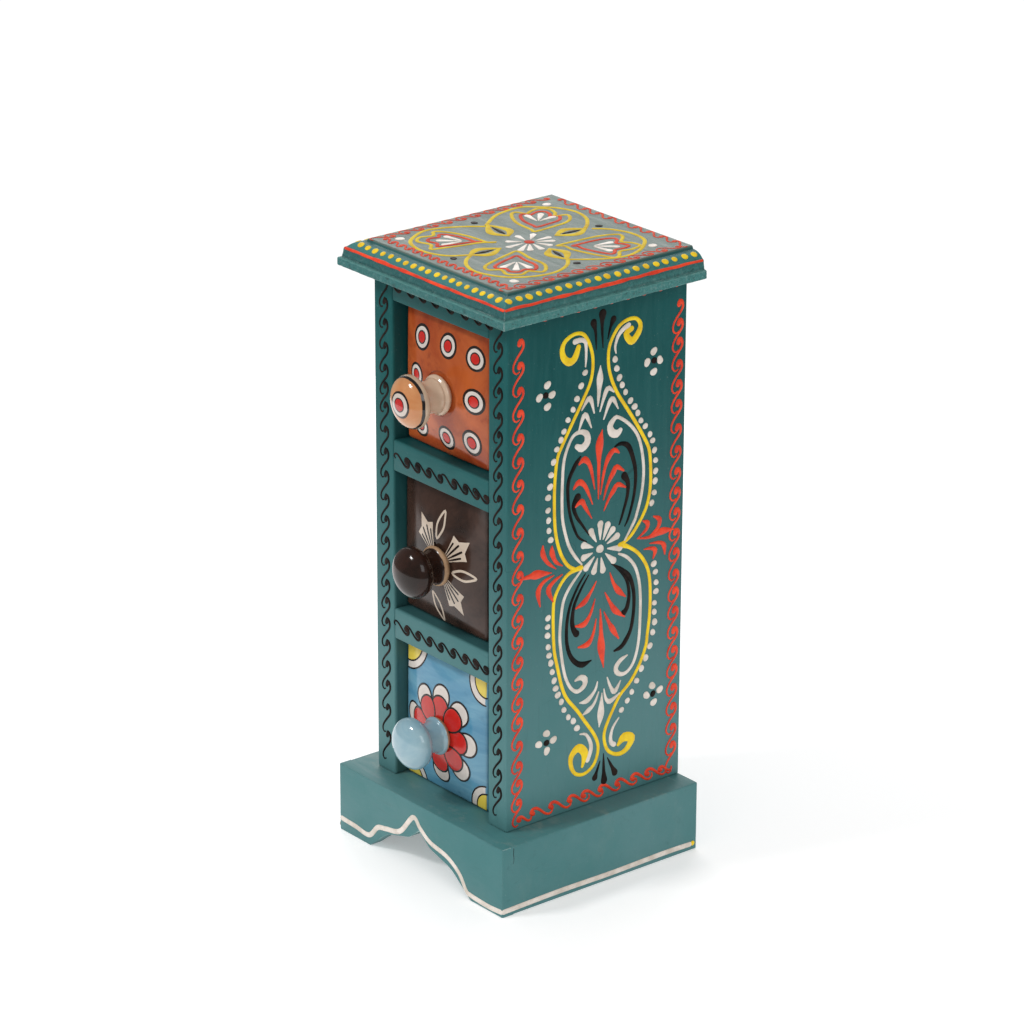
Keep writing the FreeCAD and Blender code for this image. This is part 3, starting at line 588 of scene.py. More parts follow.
def make_top(steps=90):
    """The moulded board on top, its lower fillet thick with uneven paint."""
    low, high = corners("top_board")
    grain = random.Random(3)
    shape = bmesh.new()
    rings = []
    for inset, rise in moulding_profile():
        left, right, near, back = low[0] + inset, high[0] - inset, low[1] + inset, high[1]
        thick = 0.30 if 0.0 < rise < 7.4 else 0.0
        path = [(left + thick * grain.random(), back + (near - back) * k / steps) for k in range(steps)]
        path.append((left, near))
        path += [(left + (right - left) * k / steps, near + thick * grain.random()) for k in range(1, steps)]
        path.append((right, near))
        path += [(right - thick * grain.random(), near + (back - near) * k / steps)
                 for k in range(1, steps + 1)]
        ring = []
        for k, (x, y) in enumerate(path):
            sway = 0.12 * math.sin(10.8 * k / steps + 0.6 * inset) * min(1.0, inset / 3)
            ring.append(shape.verts.new(Vector((x - math.copysign(abs(sway), x), y, low[2] + rise)) * MM))
        rings.append(ring)
    loft(shape, rings)
    shape.faces.new(rings[0][::-1])
    shape.faces.new(rings[-1])
    return shape


def board(node, material, radius=0.8, trim=(0, 0)):
    """A worn board in place of a plain one, cut back on its left or right by the trim."""
    low, high = corners(node)
    low[0] += trim[0]
    high[0] -= trim[1]
    outer = low[0] if trim[0] else high[0] if trim[1] else None
    thing = piece(node + "_worn", soft_slab(low, high, radius, outer), material, sharp=50)
    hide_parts(node)


def filleted(before, corner, after, radius):
    """An arc in place of a corner of an outline."""
    corner, one, two = Vector(corner), Vector(before), Vector(after)
    a, b = (one - corner).normalized(), (two - corner).normalized()
    half = a.angle(b) / 2
    middle = corner + (a + b).normalized() * radius / math.sin(half)
    start = corner + a * radius / math.tan(half) - middle
    end = corner + b * radius / math.tan(half) - middle
    turn = start.angle_signed(end)
    result = []
    for k in range(9):
        c, s = math.cos(-turn * k / 8), math.sin(-turn * k / 8)
        result.append(tuple(middle + Vector((start.x * c - start.y * s, start.x * s + start.y * c))))
    return result


def make_apron():
    """The scalloped front of the plinth, with a bracket foot at each end."""
    low, high = corners("plinth_front")
    knots = [(35.5, 0.0), (22.5, 10.2), (6.8, 14.6), (0.0, 20.3)]
    half = knots[:1] + filleted(*knots[:3], 18) + filleted(*knots[1:], 8)
    under = [(-x, z) for x, z in half] + knots[3:] + half[::-1]
    outline = [(-PLINTH_SIDE, 0.0)] + under + [(PLINTH_SIDE, 0.0), (PLINTH_SIDE, high[2]),
                                               (-PLINTH_SIDE, high[2])]
    shape = bmesh.new()
    front, back = ([shape.verts.new(Vector((x, y, z)) * MM) for x, z in outline] for y in (low[1], high[1]))
    face = shape.faces.new(front)
    shape.faces.new(back[::-1])
    loft(shape, [back, front])
    bmesh.ops.bevel(shape, geom=list(face.edges), offset=0.45 * MM, segments=2, profile=0.5,
                    affect="EDGES", clamp_overlap=True)
    return shape


apron = piece("plinth_front_worn", make_apron(), teal_plinth, sharp=45)
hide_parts("plinth_front")
board("left_side", teal_upright)
board("right_side", teal_upright)
board("cabinet_top", teal_across)
board("upper_shelf", teal_across)
board("lower_shelf", teal_across)
board("plinth_left", teal_plinth, 0.6, trim=(RELIEF, 0))
board("plinth_right", teal_plinth, 0.6, trim=(0, RELIEF))
top = piece("top_board_moulded", make_top(), teal_top, sharp=40)
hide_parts("top_board")


# Knobs

def painted_knob(name, bands, rings=(), coat=0.4):
    """A glaze whose tone changes along the knob, with rings round the middle of its front.

    The bands after the first are their start, tone and dark tone, and roughness.
    """
    axis_x, axis_z = KNOB_AXES[name]
    look = Look(name + "_knob_glaze")
    clouds = look.range(look.noise(60, 5, 0.6, distortion=0.5), 0.35, 0.7)
    ragged = look.times(look.calc("SUBTRACT", look.noise(160, 3, 0.6), 0.5), 0.0009)
    along = look.calc("ADD", look.axis("Y"), ragged)
    rough = look.range(look.noise(500, 3, 0.6), 0.3, 0.7, 0.10, 0.16)
    look.colour = look.mix(clouds, *bands[0])
    for start, tones, band_rough in bands[1:]:
        here = look.range(along, start * MM - 0.0001, start * MM + 0.0001)
        look.over(here, look.mix(clouds, *tones))
        rough = look.calc("ADD", look.times(rough, look.calc("SUBTRACT", 1.0, here)),
                          look.times(here, band_rough))
    across = look.calc("SUBTRACT", look.axis("X"), axis_x * MM)
    rise = look.calc("SUBTRACT", look.axis("Z"), axis_z * MM)
    radius = look.calc("SQRT", look.calc("ADD", look.times(across, across), look.times(rise, rise)))
    radius = look.calc("ADD", radius, look.times(ragged, 0.7))
    front = look.range(look.axis("Y"), -0.0545, -0.0540, 1.0, 0.0)
    for reach, tone in rings:
        ring = look.range(radius, (reach - 0.1) * MM, (reach + 0.1) * MM, 1.0, 0.0)
        look.over(look.times(ring, front), tone)
    return look.finish(rough, look.bump(look.noise(80, 2, 0.4), 0.12, 0.001),
                       Specular_IOR_Level=min(0.5, 0.25 + coat), Coat_Weight=coat, Coat_Roughness=0.05)


# Light and dark tones of the clay and its glazes
PEACH = srgb(208, 150, 102), srgb(190, 124, 76)
BONE = srgb(214, 186, 160), srgb(188, 158, 132)
CLAY = srgb(184, 150, 116), srgb(150, 116, 84)
INK = srgb(26, 20, 18)
upper_knob_glaze = painted_knob(
    "upper", [PEACH, (-55.2, (INK, INK), 0.12), (-54.0, BONE, 0.16)],
    [(6.0, INK), (5.0, srgb(204, 192, 182)), (3.2, INK), (2.7, srgb(188, 34, 30))])
middle_knob_glaze = painted_knob(
    "middle", [(srgb(50, 30, 23), srgb(30, 19, 14)), (-40.2, CLAY, 0.5)], coat=0.08)
lower_knob_glaze = painted_knob(
    "lower", [(srgb(150, 178, 186), srgb(130, 164, 178)), (-39.4, CLAY, 0.5)])


def turn_knob(axis_x, axis_z, neck, waist, widest, radius, back, dome, parts=96):
    """A knob bored for its stud: the neck as given, then an oblate head."""
    spots = [(BORE_DEPTH, BORE_RADIUS), (0.0, BORE_RADIUS)] + neck
    first = math.asin(waist / radius)
    for k in range(13):
        a = first + (math.pi / 2 - first) * k / 12
        spots.append((widest - back * math.cos(a), radius * math.sin(a)))
    for k in range(1, 18):
        a = math.pi / 2 * k / 18
        spots.append((widest + dome * math.sin(a), radius * math.cos(a)))
    shape = bmesh.new()
    rings = [[shape.verts.new(Vector((axis_x + r * math.cos(math.tau * k / parts), SEAT - reach,
                                      axis_z + r * math.sin(math.tau * k / parts))) * MM)
              for k in range(parts)] for reach, r in spots]
    loft(shape, rings)
    for ring, reach in ((rings[0], BORE_DEPTH), (rings[-1], widest + dome)):
        fan(shape, ring, shape.verts.new(Vector((axis_x, SEAT - reach, axis_z)) * MM))
    return shape


# Necks as distance from the seat and radius, then waist, place and radius of the widest ring, back, dome
BEAD = [(0.0, 7.2), (0.5, 7.7), (1.3, 8.5), (2.1, 8.9), (2.7, 8.85), (3.2, 8.4), (3.5, 7.9), (3.8, 7.7)]
TURNED_KNOBS = (
    ("upper", upper_knob_glaze, "peach_glaze",
     BEAD + [(4.3, 7.8), (4.8, 7.7), (5.3, 7.4), (7.0, 7.1), (9.0, 6.9), (10.8, 7.0)],
     7.3, 15.7, 11.8, 4.0, 7.0),
    ("middle", middle_knob_glaze, "black_glaze",
     BEAD + [(4.6, 7.5), (5.8, 7.2), (7.2, 7.0)], 6.9, 14.4, 11.4, 7.0, 7.0),
    ("lower", lower_knob_glaze, "blue_glaze",
     [(d, r - 0.3) for d, r in BEAD] + [(4.6, 7.2), (5.8, 6.9), (7.6, 6.7)], 6.7, 15.5, 11.6, 6.8, 6.8),
)
for name, material, slot, *sizes in TURNED_KNOBS:
    shape = turn_knob(*KNOB_AXES[name], *sizes)
    thing = piece(name + "_knob_turned", shape, material, name + "_drawer", 40)
    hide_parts(name + "_knob")

finishes = {
    "back_panel": teal_upright, "base_board": teal_plinth, "plinth_back": teal_plinth,
    "upper_drawer_box": amber, "middle_drawer_box": night, "lower_drawer_box": sky,
}
for node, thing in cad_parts.items():
    material = finishes.get(node)
    if any(word in node for word in ("nail", "pin", "stud", "washer", "nut")):
        material = nail_steel
    if material is None:
        continue
    if not thing.data.materials:
        thing.data.materials.append(material)
    for slot in thing.material_slots:
        slot.material = material


# Ornament of the sides

SCROLL = [(-0.2, -0.9), (0.3, 0.5), (1.5, 0.0), (2.0, -1.8), (1.2, -3.7), (-1.6, -6.8), (-3.3, -9.6),
          (-3.3, -12.0), (-1.8, -13.5), (-0.2, -12.9)]
SCROLL_WIDTH = [2.3, 2.4, 1.7, 1.35, 1.2, 1.05, 0.95, 0.9, 0.8, 0.6]
LYING = [(1.2, -0.3), (0.2, 0.4), (1.0, 1.7), (2.9, 1.8), (5.2, 0.3), (7.8, -2.0), (10.2, -2.9), (11.9, -1.8),
         (11.6, -0.4)]
LYING_WIDTH = [2.3, 2.3, 1.7, 1.5, 1.3, 1.15, 1.05, 0.9, 0.7]

FRONT_HEADS = [253, 243, 232, 222, 211.5, 201, 191, 180, 169.5, 159, 150, 139.6, 130, 120, 111, 101, 92,
               83, 72, 62.5, 54]
BACK_HEADS = [252, 243.5, 235, 225, 216, 207, 196, 186, 176, 167, 157.5, 148, 139, 129, 120.7, 111.6, 102, 93,
              84.4, 75, 66, 56, 47.5]
FOOT_HEADS = [-35.4, -25, -14.6, -6.8, 2.9, 12.5, 21.4, 29.6]
ROOF_HEADS = [-37, -28, -19, -10, -1, 8, 17, 26, 35]

LYRE = [
    [(-11, 244), (-13, 239.5), (-16, 238.5), (-19, 241), (-19.8, 245), (-18, 248.3), (-13, 250.2), (-8, 248.8),
     (-4.5, 243), (-3, 236), (-4, 228), (-8, 220.5), (-14, 211), (-19, 203), (-22, 197), (-23.3, 187),
     (-23.5, 176), (-23, 166), (-21.5, 158.5), (-19, 152), (-15.5, 147), (-12, 144.6)],
    [(-8.6, 144.4), (-12, 144.2), (-16, 143), (-20, 139.3), (-23, 134), (-23.7, 128), (-23.6, 119), (-23, 110),
     (-21.5, 103), (-18.6, 92), (-15.7, 85.7), (-10, 78.6), (-5.7, 72.5), (-0.7, 65.4), (1.8, 60), (1.8, 55),
     (-0.7, 50), (-5.7, 47.5), (-10.7, 49), (-13.2, 53.6), (-12.9, 58), (-9, 60.7), (-5.4, 57), (-6.8, 51.4)],
    [(18, 246), (15, 244.3), (18.2, 240.4), (22, 243.6), (22.9, 247), (20.4, 250), (15.7, 250.4), (10.7, 248.2),
     (6.4, 242), (5.4, 235.7), (6.4, 228.6), (10, 220), (15.7, 211.4), (20, 205), (25, 197), (28.6, 190),
     (29.7, 183), (29.9, 174), (28.9, 167), (26.5, 161), (20.7, 153.6), (16, 150.4), (13, 149.5)],
    [(12.8, 149.2), (15.5, 148.6), (18.6, 147), (23.6, 143), (27.9, 137), (30, 130.7), (30.7, 122), (30.4, 112),
     (29.3, 103.6), (28.6, 98.6), (25, 90.7), (20, 84), (14.3, 79.3), (10, 73), (6.4, 66.4), (5.4, 61.4),
     (7.1, 55.7), (10.7, 52.5), (15, 51.4), (18.9, 53), (21.1, 57), (16.8, 58.6), (13.6, 56)],
]
LYRE_STARTS = [[2.6, 3.3, 3.5, 3.1, 2.6, 2.1], [2.6, 2.1], [2.6, 2.9, 3.4, 3.0, 2.3], [2.4, 2.2]]
LYRE_ENDS = [[1.7], [2.3, 3.0, 3.9, 4.0, 1.5], [2.2], [2.2, 2.9, 4.2, 4.4, 1.8]]
WHITE_STARTS = [[2.4, 3.6, 3.6, 3.0, 2.1], [1.0], [2.4, 3.6, 3.7, 3.2, 2.3], [1.0]]
WHITE_ENDS = [[0.9], [2.0, 2.6, 3.0, 2.6, 1.2], [0.9], [2.0, 2.4, 2.6, 2.2, 0.9]]

WHITE_LINES = [
    [(-11.4, 200), (-8.6, 198.6), (-5.7, 200.7), (-6.1, 204.3), (-9.6, 206.1), (-13.6, 205), (-16.8, 200),
     (-18.6, 194), (-19.2, 185), (-19.3, 175), (-18.6, 167), (-15.7, 157), (-12.1, 150.7), (-8.2, 146)],
    [(-8.6, 143), (-14.3, 137.5), (-17.9, 132), (-19.3, 125), (-20, 116), (-19.3, 108.6), (-17.7, 99.5),
     (-15.7, 93.6), (-12.9, 89.3), (-9.6, 87.5), (-6.1, 89.3), (-5.7, 92), (-8.2, 93.6), (-11.1, 93)],
    [(12.5, 201.8), (10.7, 200.7), (7.9, 201.8), (6.8, 205), (9.3, 207.9), (11.4, 207.9), (15.7, 205),
     (20, 200.7), (23, 195.7), (25, 188.6), (25.9, 180), (25, 170.7), (22.5, 162), (20.7, 158), (15.7, 151)],
    [(12.5, 145.6), (17, 143), (21.4, 138), (23.9, 131.4), (25, 123.6), (25.1, 113.6), (24.4, 102),
     (22.1, 93.6), (18.6, 89.6), (15, 88.9), (12.1, 90.7), (11.8, 93.2), (14.3, 95.7), (17.9, 97)],
]

WHITE_DOTS = [
    (-7.3, 232), (-9.4, 226.6), (-11.6, 221.3), (-13.7, 217), (-16.4, 213), (-18.6, 208.4), (-20.2, 205),
    (-22.4, 201.3), (-24.1, 196), (-25.4, 190.5), (-25.9, 185.3), (-26.9, 180.7), (-26.9, 175), (-26.6, 170.4),
    (-26.4, 165.7), (-25.4, 161.3), (-26.6, 126), (-26.8, 122), (-26.8, 118), (-26.4, 112.6), (-25.9, 108.6),
    (-24.9, 104.8), (-24.1, 100.5), (-23, 96.2), (-22.1, 92.3), (-20.9, 88.9), (-18.9, 85.2), (-17.4, 81),
    (-14.9, 76.9), (-12.1, 74.3), (-10, 70.4), (9.1, 234.3), (10.1, 230), (11.6, 225.6), (13.2, 222),
    (15.1, 218.4), (17.9, 213.9), (20.3, 210.7), (22.1, 207.4), (23.9, 203.6), (26.4, 200.5), (29.1, 196.2),
    (30.7, 193), (31.8, 188.4), (32.5, 183.6), (32.6, 178.7), (32.4, 174.2), (32, 169), (30.7, 164.5),
    (32.4, 136), (33.4, 132), (33.9, 127), (33.9, 122.8), (33.1, 117.6), (33.1, 113.4), (33.4, 108.6),
    (32.4, 104), (30.9, 98), (28.6, 93), (26.2, 88.6), (23.6, 83.5), (20.9, 79), (18.4, 75.5), (15.1, 72),
]

WHITE_BRUSHED = [
    ([(-12.9, 246.8), (-9.3, 246.8), (-7.1, 245), (-6.8, 239.3), (-7.1, 234.6)], [2.6, 2.2, 1.8, 1.3, 0.7]),
    ([(16.4, 247.9), (13.6, 246.8), (10.7, 244.3), (9.1, 240), (9.6, 237)], [2.4, 2.2, 1.8, 1.3, 0.7]),
    ([(-8.2, 67), (-5, 66), (-2.5, 62), (-2, 58), (-3.9, 53.6)], [0.7, 1.4, 1.9, 2.2, 2.6]),
    ([(13.6, 68.7), (10.4, 65), (9.1, 60.7), (9.6, 58), (11.1, 56.8)], [0.7, 1.4, 1.9, 2.2, 2.4]),
    ([(1.1, 233.2), (0.9, 227.5), (0.4, 221), (-0.1, 215.4)], [0.5, 3.6, 2.0, 0.5]),
    ([(-8.9, 215.7), (-4.6, 220), (-2.1, 213)], [0.8, 2.5, 0.8]),
    ([(-10.4, 207), (-7.1, 213.2), (-3.6, 206.8)], [0.8, 2.5, 0.8]),
    ([(1.1, 213), (5, 222), (8.6, 220)], [0.8, 2.5, 0.8]),
    ([(3.2, 209), (7.5, 217), (11.1, 212)], [0.8, 2.5, 0.8]),
    ([(3.9, 83), (3.4, 73.6), (2.5, 67.5)], [0.5, 3.8, 0.5]),
    ([(1.3, 89), (0, 85.4), (-4.3, 81.8), (-8.6, 81.8)], [0.7, 1.5, 2.6, 0.7]),
    ([(2, 84), (-0.4, 79.3), (-3.6, 77), (-6.8, 75.7)], [0.7, 1.5, 2.5, 0.7]),
    ([(6.8, 89.6), (8.6, 85), (11.1, 81.8), (14.3, 86)], [0.7, 1.5, 2.6, 0.7]),
    ([(5, 84.6), (6.1, 80), (8.6, 77.9), (13.9, 80.4)], [0.7, 1.5, 2.5, 0.7]),
]

RED_BRUSHED = [
    ([(2.5, 204.3), (1.1, 198), (0.8, 188), (0.7, 173.6)], [0.6, 4.2, 1.8, 0.6]),
    ([(-10, 191.8), (-7.1, 193.2), (-3.9, 189.3), (-1.4, 178.6)], [1.2, 3.0, 2.0, 0.6]),
    ([(-12.9, 181.4), (-10, 183.6), (-6.4, 180.7), (-2.5, 172)], [1.2, 3.0, 2.0, 0.6]),
    ([(-12.1, 173), (-8.6, 174.6), (-6.4, 171.4), (-2.9, 165.7)], [1.2, 2.8, 1.9, 0.6]),
    ([(11.8, 192), (9.3, 193.6), (6.4, 191.4), (3.9, 185.7), (1.8, 175.4)], [1.0, 2.4, 2.8, 1.6, 0.6]),
    ([(14.6, 183.2), (10.7, 185.7), (8.9, 183.6), (5.7, 178.6), (3.6, 172.5)], [1.0, 2.4, 2.8, 1.6, 0.6]),
    ([(15.7, 175.4), (11.4, 177.5), (8.9, 175), (6.4, 172), (3.9, 167.5)], [1.0, 2.4, 2.6, 1.5, 0.6]),
    ([(2.5, 122.5), (3.0, 113), (3.2, 105), (4.6, 95)], [0.6, 2.0, 4.2, 0.6]),
    ([(0, 136), (-2.9, 131.8), (-6.4, 128.2), (-11.1, 126.4)], [0.6, 1.6, 2.9, 0.9]),
    ([(-0.6, 128), (-2.9, 122), (-6.4, 118), (-11.4, 118.2)], [0.6, 1.6, 2.9, 0.9]),
    ([(0.2, 118.6), (-1.4, 112), (-4.3, 108.2), (-9.6, 108)], [0.6, 1.6, 2.9, 0.9]),
    ([(7.7, 138), (9.6, 133), (12.5, 128.6), (16.4, 125)], [0.6, 1.6, 2.9, 0.9]),
    ([(5, 129.6), (7.5, 125), (10.7, 120), (16.1, 115.7)], [0.6, 1.6, 2.9, 0.9]),
    ([(4.6, 120.7), (7.1, 115.7), (9.6, 111.4), (12.9, 106.4)], [0.6, 1.6, 2.9, 0.9]),
    ([(-42.5, 147.5), (-37, 147.5), (-33.2, 147.5), (-25, 146.3)], [0.7, 2.2, 4.2, 0.6]),
    ([(-29.6, 159.6), (-29.6, 156), (-27, 151.4), (-22.5, 147.6)], [0.8, 2.8, 1.8, 0.6]),
    ([(-24.6, 158.2), (-24.6, 155.4), (-22.5, 150.7), (-18.9, 148)], [0.8, 2.8, 1.8, 0.6]),
    ([(-23.6, 144.8), (-29.3, 143), (-32, 139.3), (-31, 132.5)], [0.6, 1.8, 2.8, 0.8]),
    ([(-18.9, 144), (-23.6, 141.8), (-26.4, 138.6), (-23.6, 132.5)], [0.6, 1.8, 2.8, 0.8]),
    ([(22.9, 150), (29, 149), (32.9, 149.6), (37, 150), (43.5, 149.3)], [0.6, 1.4, 2.8, 3.4, 0.6]),
    ([(23.2, 150), (27.9, 153), (28.6, 155.7), (26, 157.3)], [0.6, 1.8, 2.6, 0.8]),
    ([(30, 149.6), (34.3, 152), (35.4, 155.7), (32, 158)], [0.6, 1.8, 2.6, 0.8]),
    ([(26.8, 144), (30.7, 143.6), (33.2, 142), (32, 138.6)], [0.6, 1.6, 2.5, 0.8]),
    ([(30, 146), (35.7, 145), (38.2, 143), (38.6, 139)], [0.6, 1.6, 2.5, 0.8]),
]

BLACK_BRUSHED = [
    ([(-9.3, 195), (-12.1, 192), (-15.7, 185.7), (-16.1, 178.6), (-15, 170.7), (-12.9, 164.3), (-10, 158.6),
      (-5.7, 155.7)], [0.8, 2.0, 1.7, 1.5, 1.3, 1.2, 1.0, 0.6]),
    ([(-10.7, 177), (-12.9, 173.6), (-11.4, 168.6), (-7.9, 163.6), (-4.3, 158.4)], [3.2, 2.0, 1.5, 1.1, 0.6]),
    ([(9.6, 195), (12.9, 195.7), (17.1, 193.6), (20, 187), (21.4, 180), (20.7, 170.7), (17.9, 161.4),
      (15.7, 157.5)], [0.8, 1.6, 2.2, 1.9, 1.6, 1.4, 1.1, 0.6]),
    ([(15, 180.7), (17.1, 177), (16.8, 170.7), (13.6, 161.4), (12.5, 159)], [3.0, 2.0, 1.5, 1.1, 0.6]),
    ([(-6.1, 141), (-10, 136.4), (-14.3, 128.6), (-16.1, 120.7), (-16.1, 112), (-14.3, 105.7), (-11.1, 101.4),
      (-7.1, 99.3), (-2.5, 100)], [0.6, 1.1, 1.3, 1.5, 1.6, 1.8, 2.1, 2.5, 0.8]),
    ([(-4.3, 140), (-8.6, 134.3), (-12.1, 128), (-13.2, 120.7), (-12.1, 116.4), (-10.7, 114.6)],
     [0.6, 1.1, 1.5, 2.0, 2.3, 2.8]),
    ([(8.6, 141.8), (14.3, 138), (18.6, 133.6), (21.1, 126.4), (21.4, 118), (20, 109.3), (17.1, 104.3),
      (14.3, 101.8), (10.7, 101)], [0.6, 1.4, 2.0, 1.7, 1.6, 1.7, 2.2, 2.0, 0.9]),
    ([(10, 140.7), (14.3, 136.4), (17.5, 131.4), (18.6, 125), (17.5, 119.3), (15.7, 117.5)],
     [0.6, 1.1, 1.4, 1.6, 2.1, 2.8]),
    ([(-2.9, 253), (-1.7, 248.4), (-1.3, 241)], [3.0, 1.2, 0.5]),
    ([(2, 256), (1.8, 250.3), (2.4, 241)], [3.6, 1.4, 0.5]),
    ([(8, 252.3), (6.3, 248.8), (5, 244.3)], [2.8, 1.2, 0.5]),
    ([(3.2, 51), (1.6, 47), (0.4, 44)], [0.5, 1.2, 2.7]),
    ([(5.2, 54), (5.4, 47), (5.7, 41)], [0.5, 1.4, 3.1]),
    ([(7.5, 51.4), (9.8, 47), (11.8, 43.2)], [0.5, 1.3, 2.8]),
]

CROSS_FLOWERS = [
    ((-28.6, 226.6), [(-27.7, 231), (-32, 226.3), (-25.2, 226.2), (-27.6, 221.4)]),
    ((30.9, 229), [(30.6, 233.2), (27, 229), (34.1, 228.6), (30.7, 224)]),
    ((-27, 68.2), [(-27, 72.6), (-31.3, 68.6), (-23.2, 68.6), (-26.8, 64.4)]),
    ((33.1, 74.8), [(32.6, 78.7), (29.4, 75), (37, 75.7), (33.6, 70.6)]),
]

DAISY = (1.9, 150.5)
DAISY_TIPS = [(2, 161.8), (6.1, 160.4), (8.9, 157.5), (11.4, 154), (12.9, 148.2), (9.6, 143.2), (3.7, 140.4),
              (-1.3, 141), (-5.7, 143.6), (-7.1, 148.6), (-7.1, 154.3), (-3.2, 159.6)]


def drawn_out(points, starts, width, ends):
    """Widths that start and end as given, with one width between."""
    return starts + [width] * (len(points) - len(starts) - len(ends)) + ends


def ornament(name, shapes, paints):
    """The painted ornament of a face, one piece for each colour."""
    for colour, shape, paint in zip(("red", "yellow", "white", "black"), shapes, paints):
        piece(f"{name}_{colour}_ornament", shape, paint)


def decorate_side(name, sign):
    """Scrolls round the edge of a side, and the lyre, leaves and flowers inside them."""
    surface = on_side(sign)
    in_red, in_yellow, in_white, in_black = shapes = new_shapes(4)
    row(in_red, SCROLL, SCROLL_WIDTH, [(-42.6, z) for z in FRONT_HEADS], surface)
    row(in_red, SCROLL, SCROLL_WIDTH, [(44.6, z) for z in BACK_HEADS], surface)
    row(in_red, LYING, LYING_WIDTH, [(u, 37.2) for u in FOOT_HEADS], surface)
    row(in_red, LYING, LYING_WIDTH, [(u, 262.0) for u in ROOF_HEADS], surface, 0.8)
    row(in_red, SCROLL, SCROLL_WIDTH, [(-42.6, 45)], surface, 0.85)
    row(in_red, LYING, LYING_WIDTH, [(37.5, 37.0)], surface, 0.6)
    row(in_red, LYING, LYING_WIDTH, [(-42.6, 36.2)], surface, 0.62)
    for points, starts, ends in zip(LYRE, LYRE_STARTS, LYRE_ENDS):
        stroke(in_yellow, points, drawn_out(points, starts, 1.7, ends), surface)
    for points, starts, ends in zip(WHITE_LINES, WHITE_STARTS, WHITE_ENDS):
        stroke(in_white, points, drawn_out(points, starts, 1.6, ends), surface)
    for spot in WHITE_DOTS:
        dot(in_white, spot, chance.uniform(1.35, 1.6), surface)
    for points, widths in WHITE_BRUSHED:
        stroke(in_white, points, widths, surface)
    for points, widths in RED_BRUSHED:
        stroke(in_red, points, widths, surface)
    for points, widths in BLACK_BRUSHED:
        stroke(in_black, points, [w if w < 0.9 else 1.15 * w for w in widths], surface)
    for middle, petals in CROSS_FLOWERS:
        dot(in_black, middle, 1.5, surface)
        for spot in petals:
            dot(in_white, spot, 1.8, surface, wobble=0.12)
    dot(in_white, DAISY, 2.0, surface)
    daisy(in_white, DAISY, DAISY_TIPS, 4.4, [0.7, 2.2, 3.3], surface)
    ornament(name, shapes, (red, yellow, cream, black))


decorate_side("right", 1)
decorate_side("left", -1)


# Ornament of the front

STILE = [(-0.5, -1.1), (0.3, 0.5), (1.5, -0.2), (1.9, -2.0), (1.1, -4.0), (-1.6, -7.2), (-3.3, -9.8),
         (-3.5, -11.8), (-2.5, -12.9), (-1.4, -12.4)]
STILE_WIDTH = [2.0, 2.3, 1.55, 1.2, 1.1, 1.0, 0.9, 0.85, 0.75, 0.5]
RAIL = [(-0.3, 0.6), (0.8, 0.3), (1.2, -0.8), (0.1, -1.7), (-1.7, -1.2), (-4.2, 0.8), (-6.2, 2.3),
        (-8.0, 2.3), (-8.7, 1.2), (-7.9, 0.4)]
RAIL_WIDTH = [2.8, 3.0, 1.8, 1.3, 1.15, 1.05, 0.95, 0.9, 0.8, 0.6]
RIGHT_STILE = [260.9, 251.6, 241, 232, 221, 212.7, 204, 194.6, 184.3, 174.3, 163.4, 154.3, 144.3, 135,
               125, 116.4, 107.5, 97.7, 89, 79, 68.6, 59, 50.7]
LEFT_STILE = [260.4, 251, 241.6, 231, 221, 213, 204, 193, 183, 172.5, 161.8, 151.8, 142, 132, 122, 113.6,
              104, 93.6, 83.6, 74.3, 63, 50]
UPPER_RAIL = [-23, -15.6, -8, 0, 9.4, 17, 24.6, 31]
LOWER_RAIL = [-23.8, -16, -8, 0, 8.4, 16.6, 24.2, 31]
TOP_RAIL = [-28, -19, -11, -2.4, 7.6, 17.3, 26, 33.4]
APRON = [(-55.8, 5.8), (-46, 5.4), (-36.1, 4.8), (-29.8, 10.7), (-23.7, 12.3), (-13.6, 15), (-4.3, 25),
         (0.6, 21.6), (7.6, 17.4), (19.5, 14.9), (27.8, 10.2), (32.6, 3.9), (35.8, 2.7), (47.7, 2.1),
         (56.2, 2.6)]
PLINTH_LINE = [(-50.6, 2.7), (-20, 3.2), (10, 2.9), (40, 3.3), (55, 3.0)]
CRACK = [(-45.2, 31.0), (-45.4, 28.5), (-45.1, 26.2), (-45.4, 24.0)]

dark_scrolls, apron_line, specks, crack = new_shapes(4)
row(dark_scrolls, STILE, STILE_WIDTH, [(39.6, z) for z in RIGHT_STILE], on_front)
row(dark_scrolls, STILE, STILE_WIDTH, [(-37.6, z) for z in LEFT_STILE], on_front)
row(dark_scrolls, RAIL, RAIL_WIDTH, [(x, 181.2) for x in UPPER_RAIL], on_front)
row(dark_scrolls, RAIL, RAIL_WIDTH, [(x, 103.4) for x in LOWER_RAIL], on_front)
row(dark_scrolls, RAIL, RAIL_WIDTH, [(x, 258.8) for x in TOP_RAIL], on_front)
piece("front_scrolls", dark_scrolls, black)

stroke(apron_line, APRON, 2.4, on_apron)
for sign in (1, -1):
    stroke(apron_line, PLINTH_LINE, 2.4, on_plinth_side(sign))
    dot(specks, (56.6, 3.2), 1.1, on_plinth_side(sign))
piece("apron_white_line", apron_line, cream)
piece("plinth_yellow_specks", specks, yellow)
stroke(crack, CRACK, [0.35, 0.3, 0.25, 0.15], on_plinth_side(1), height=0.03)
piece("plinth_paint_crack", crack, black)


# Ornament of the top

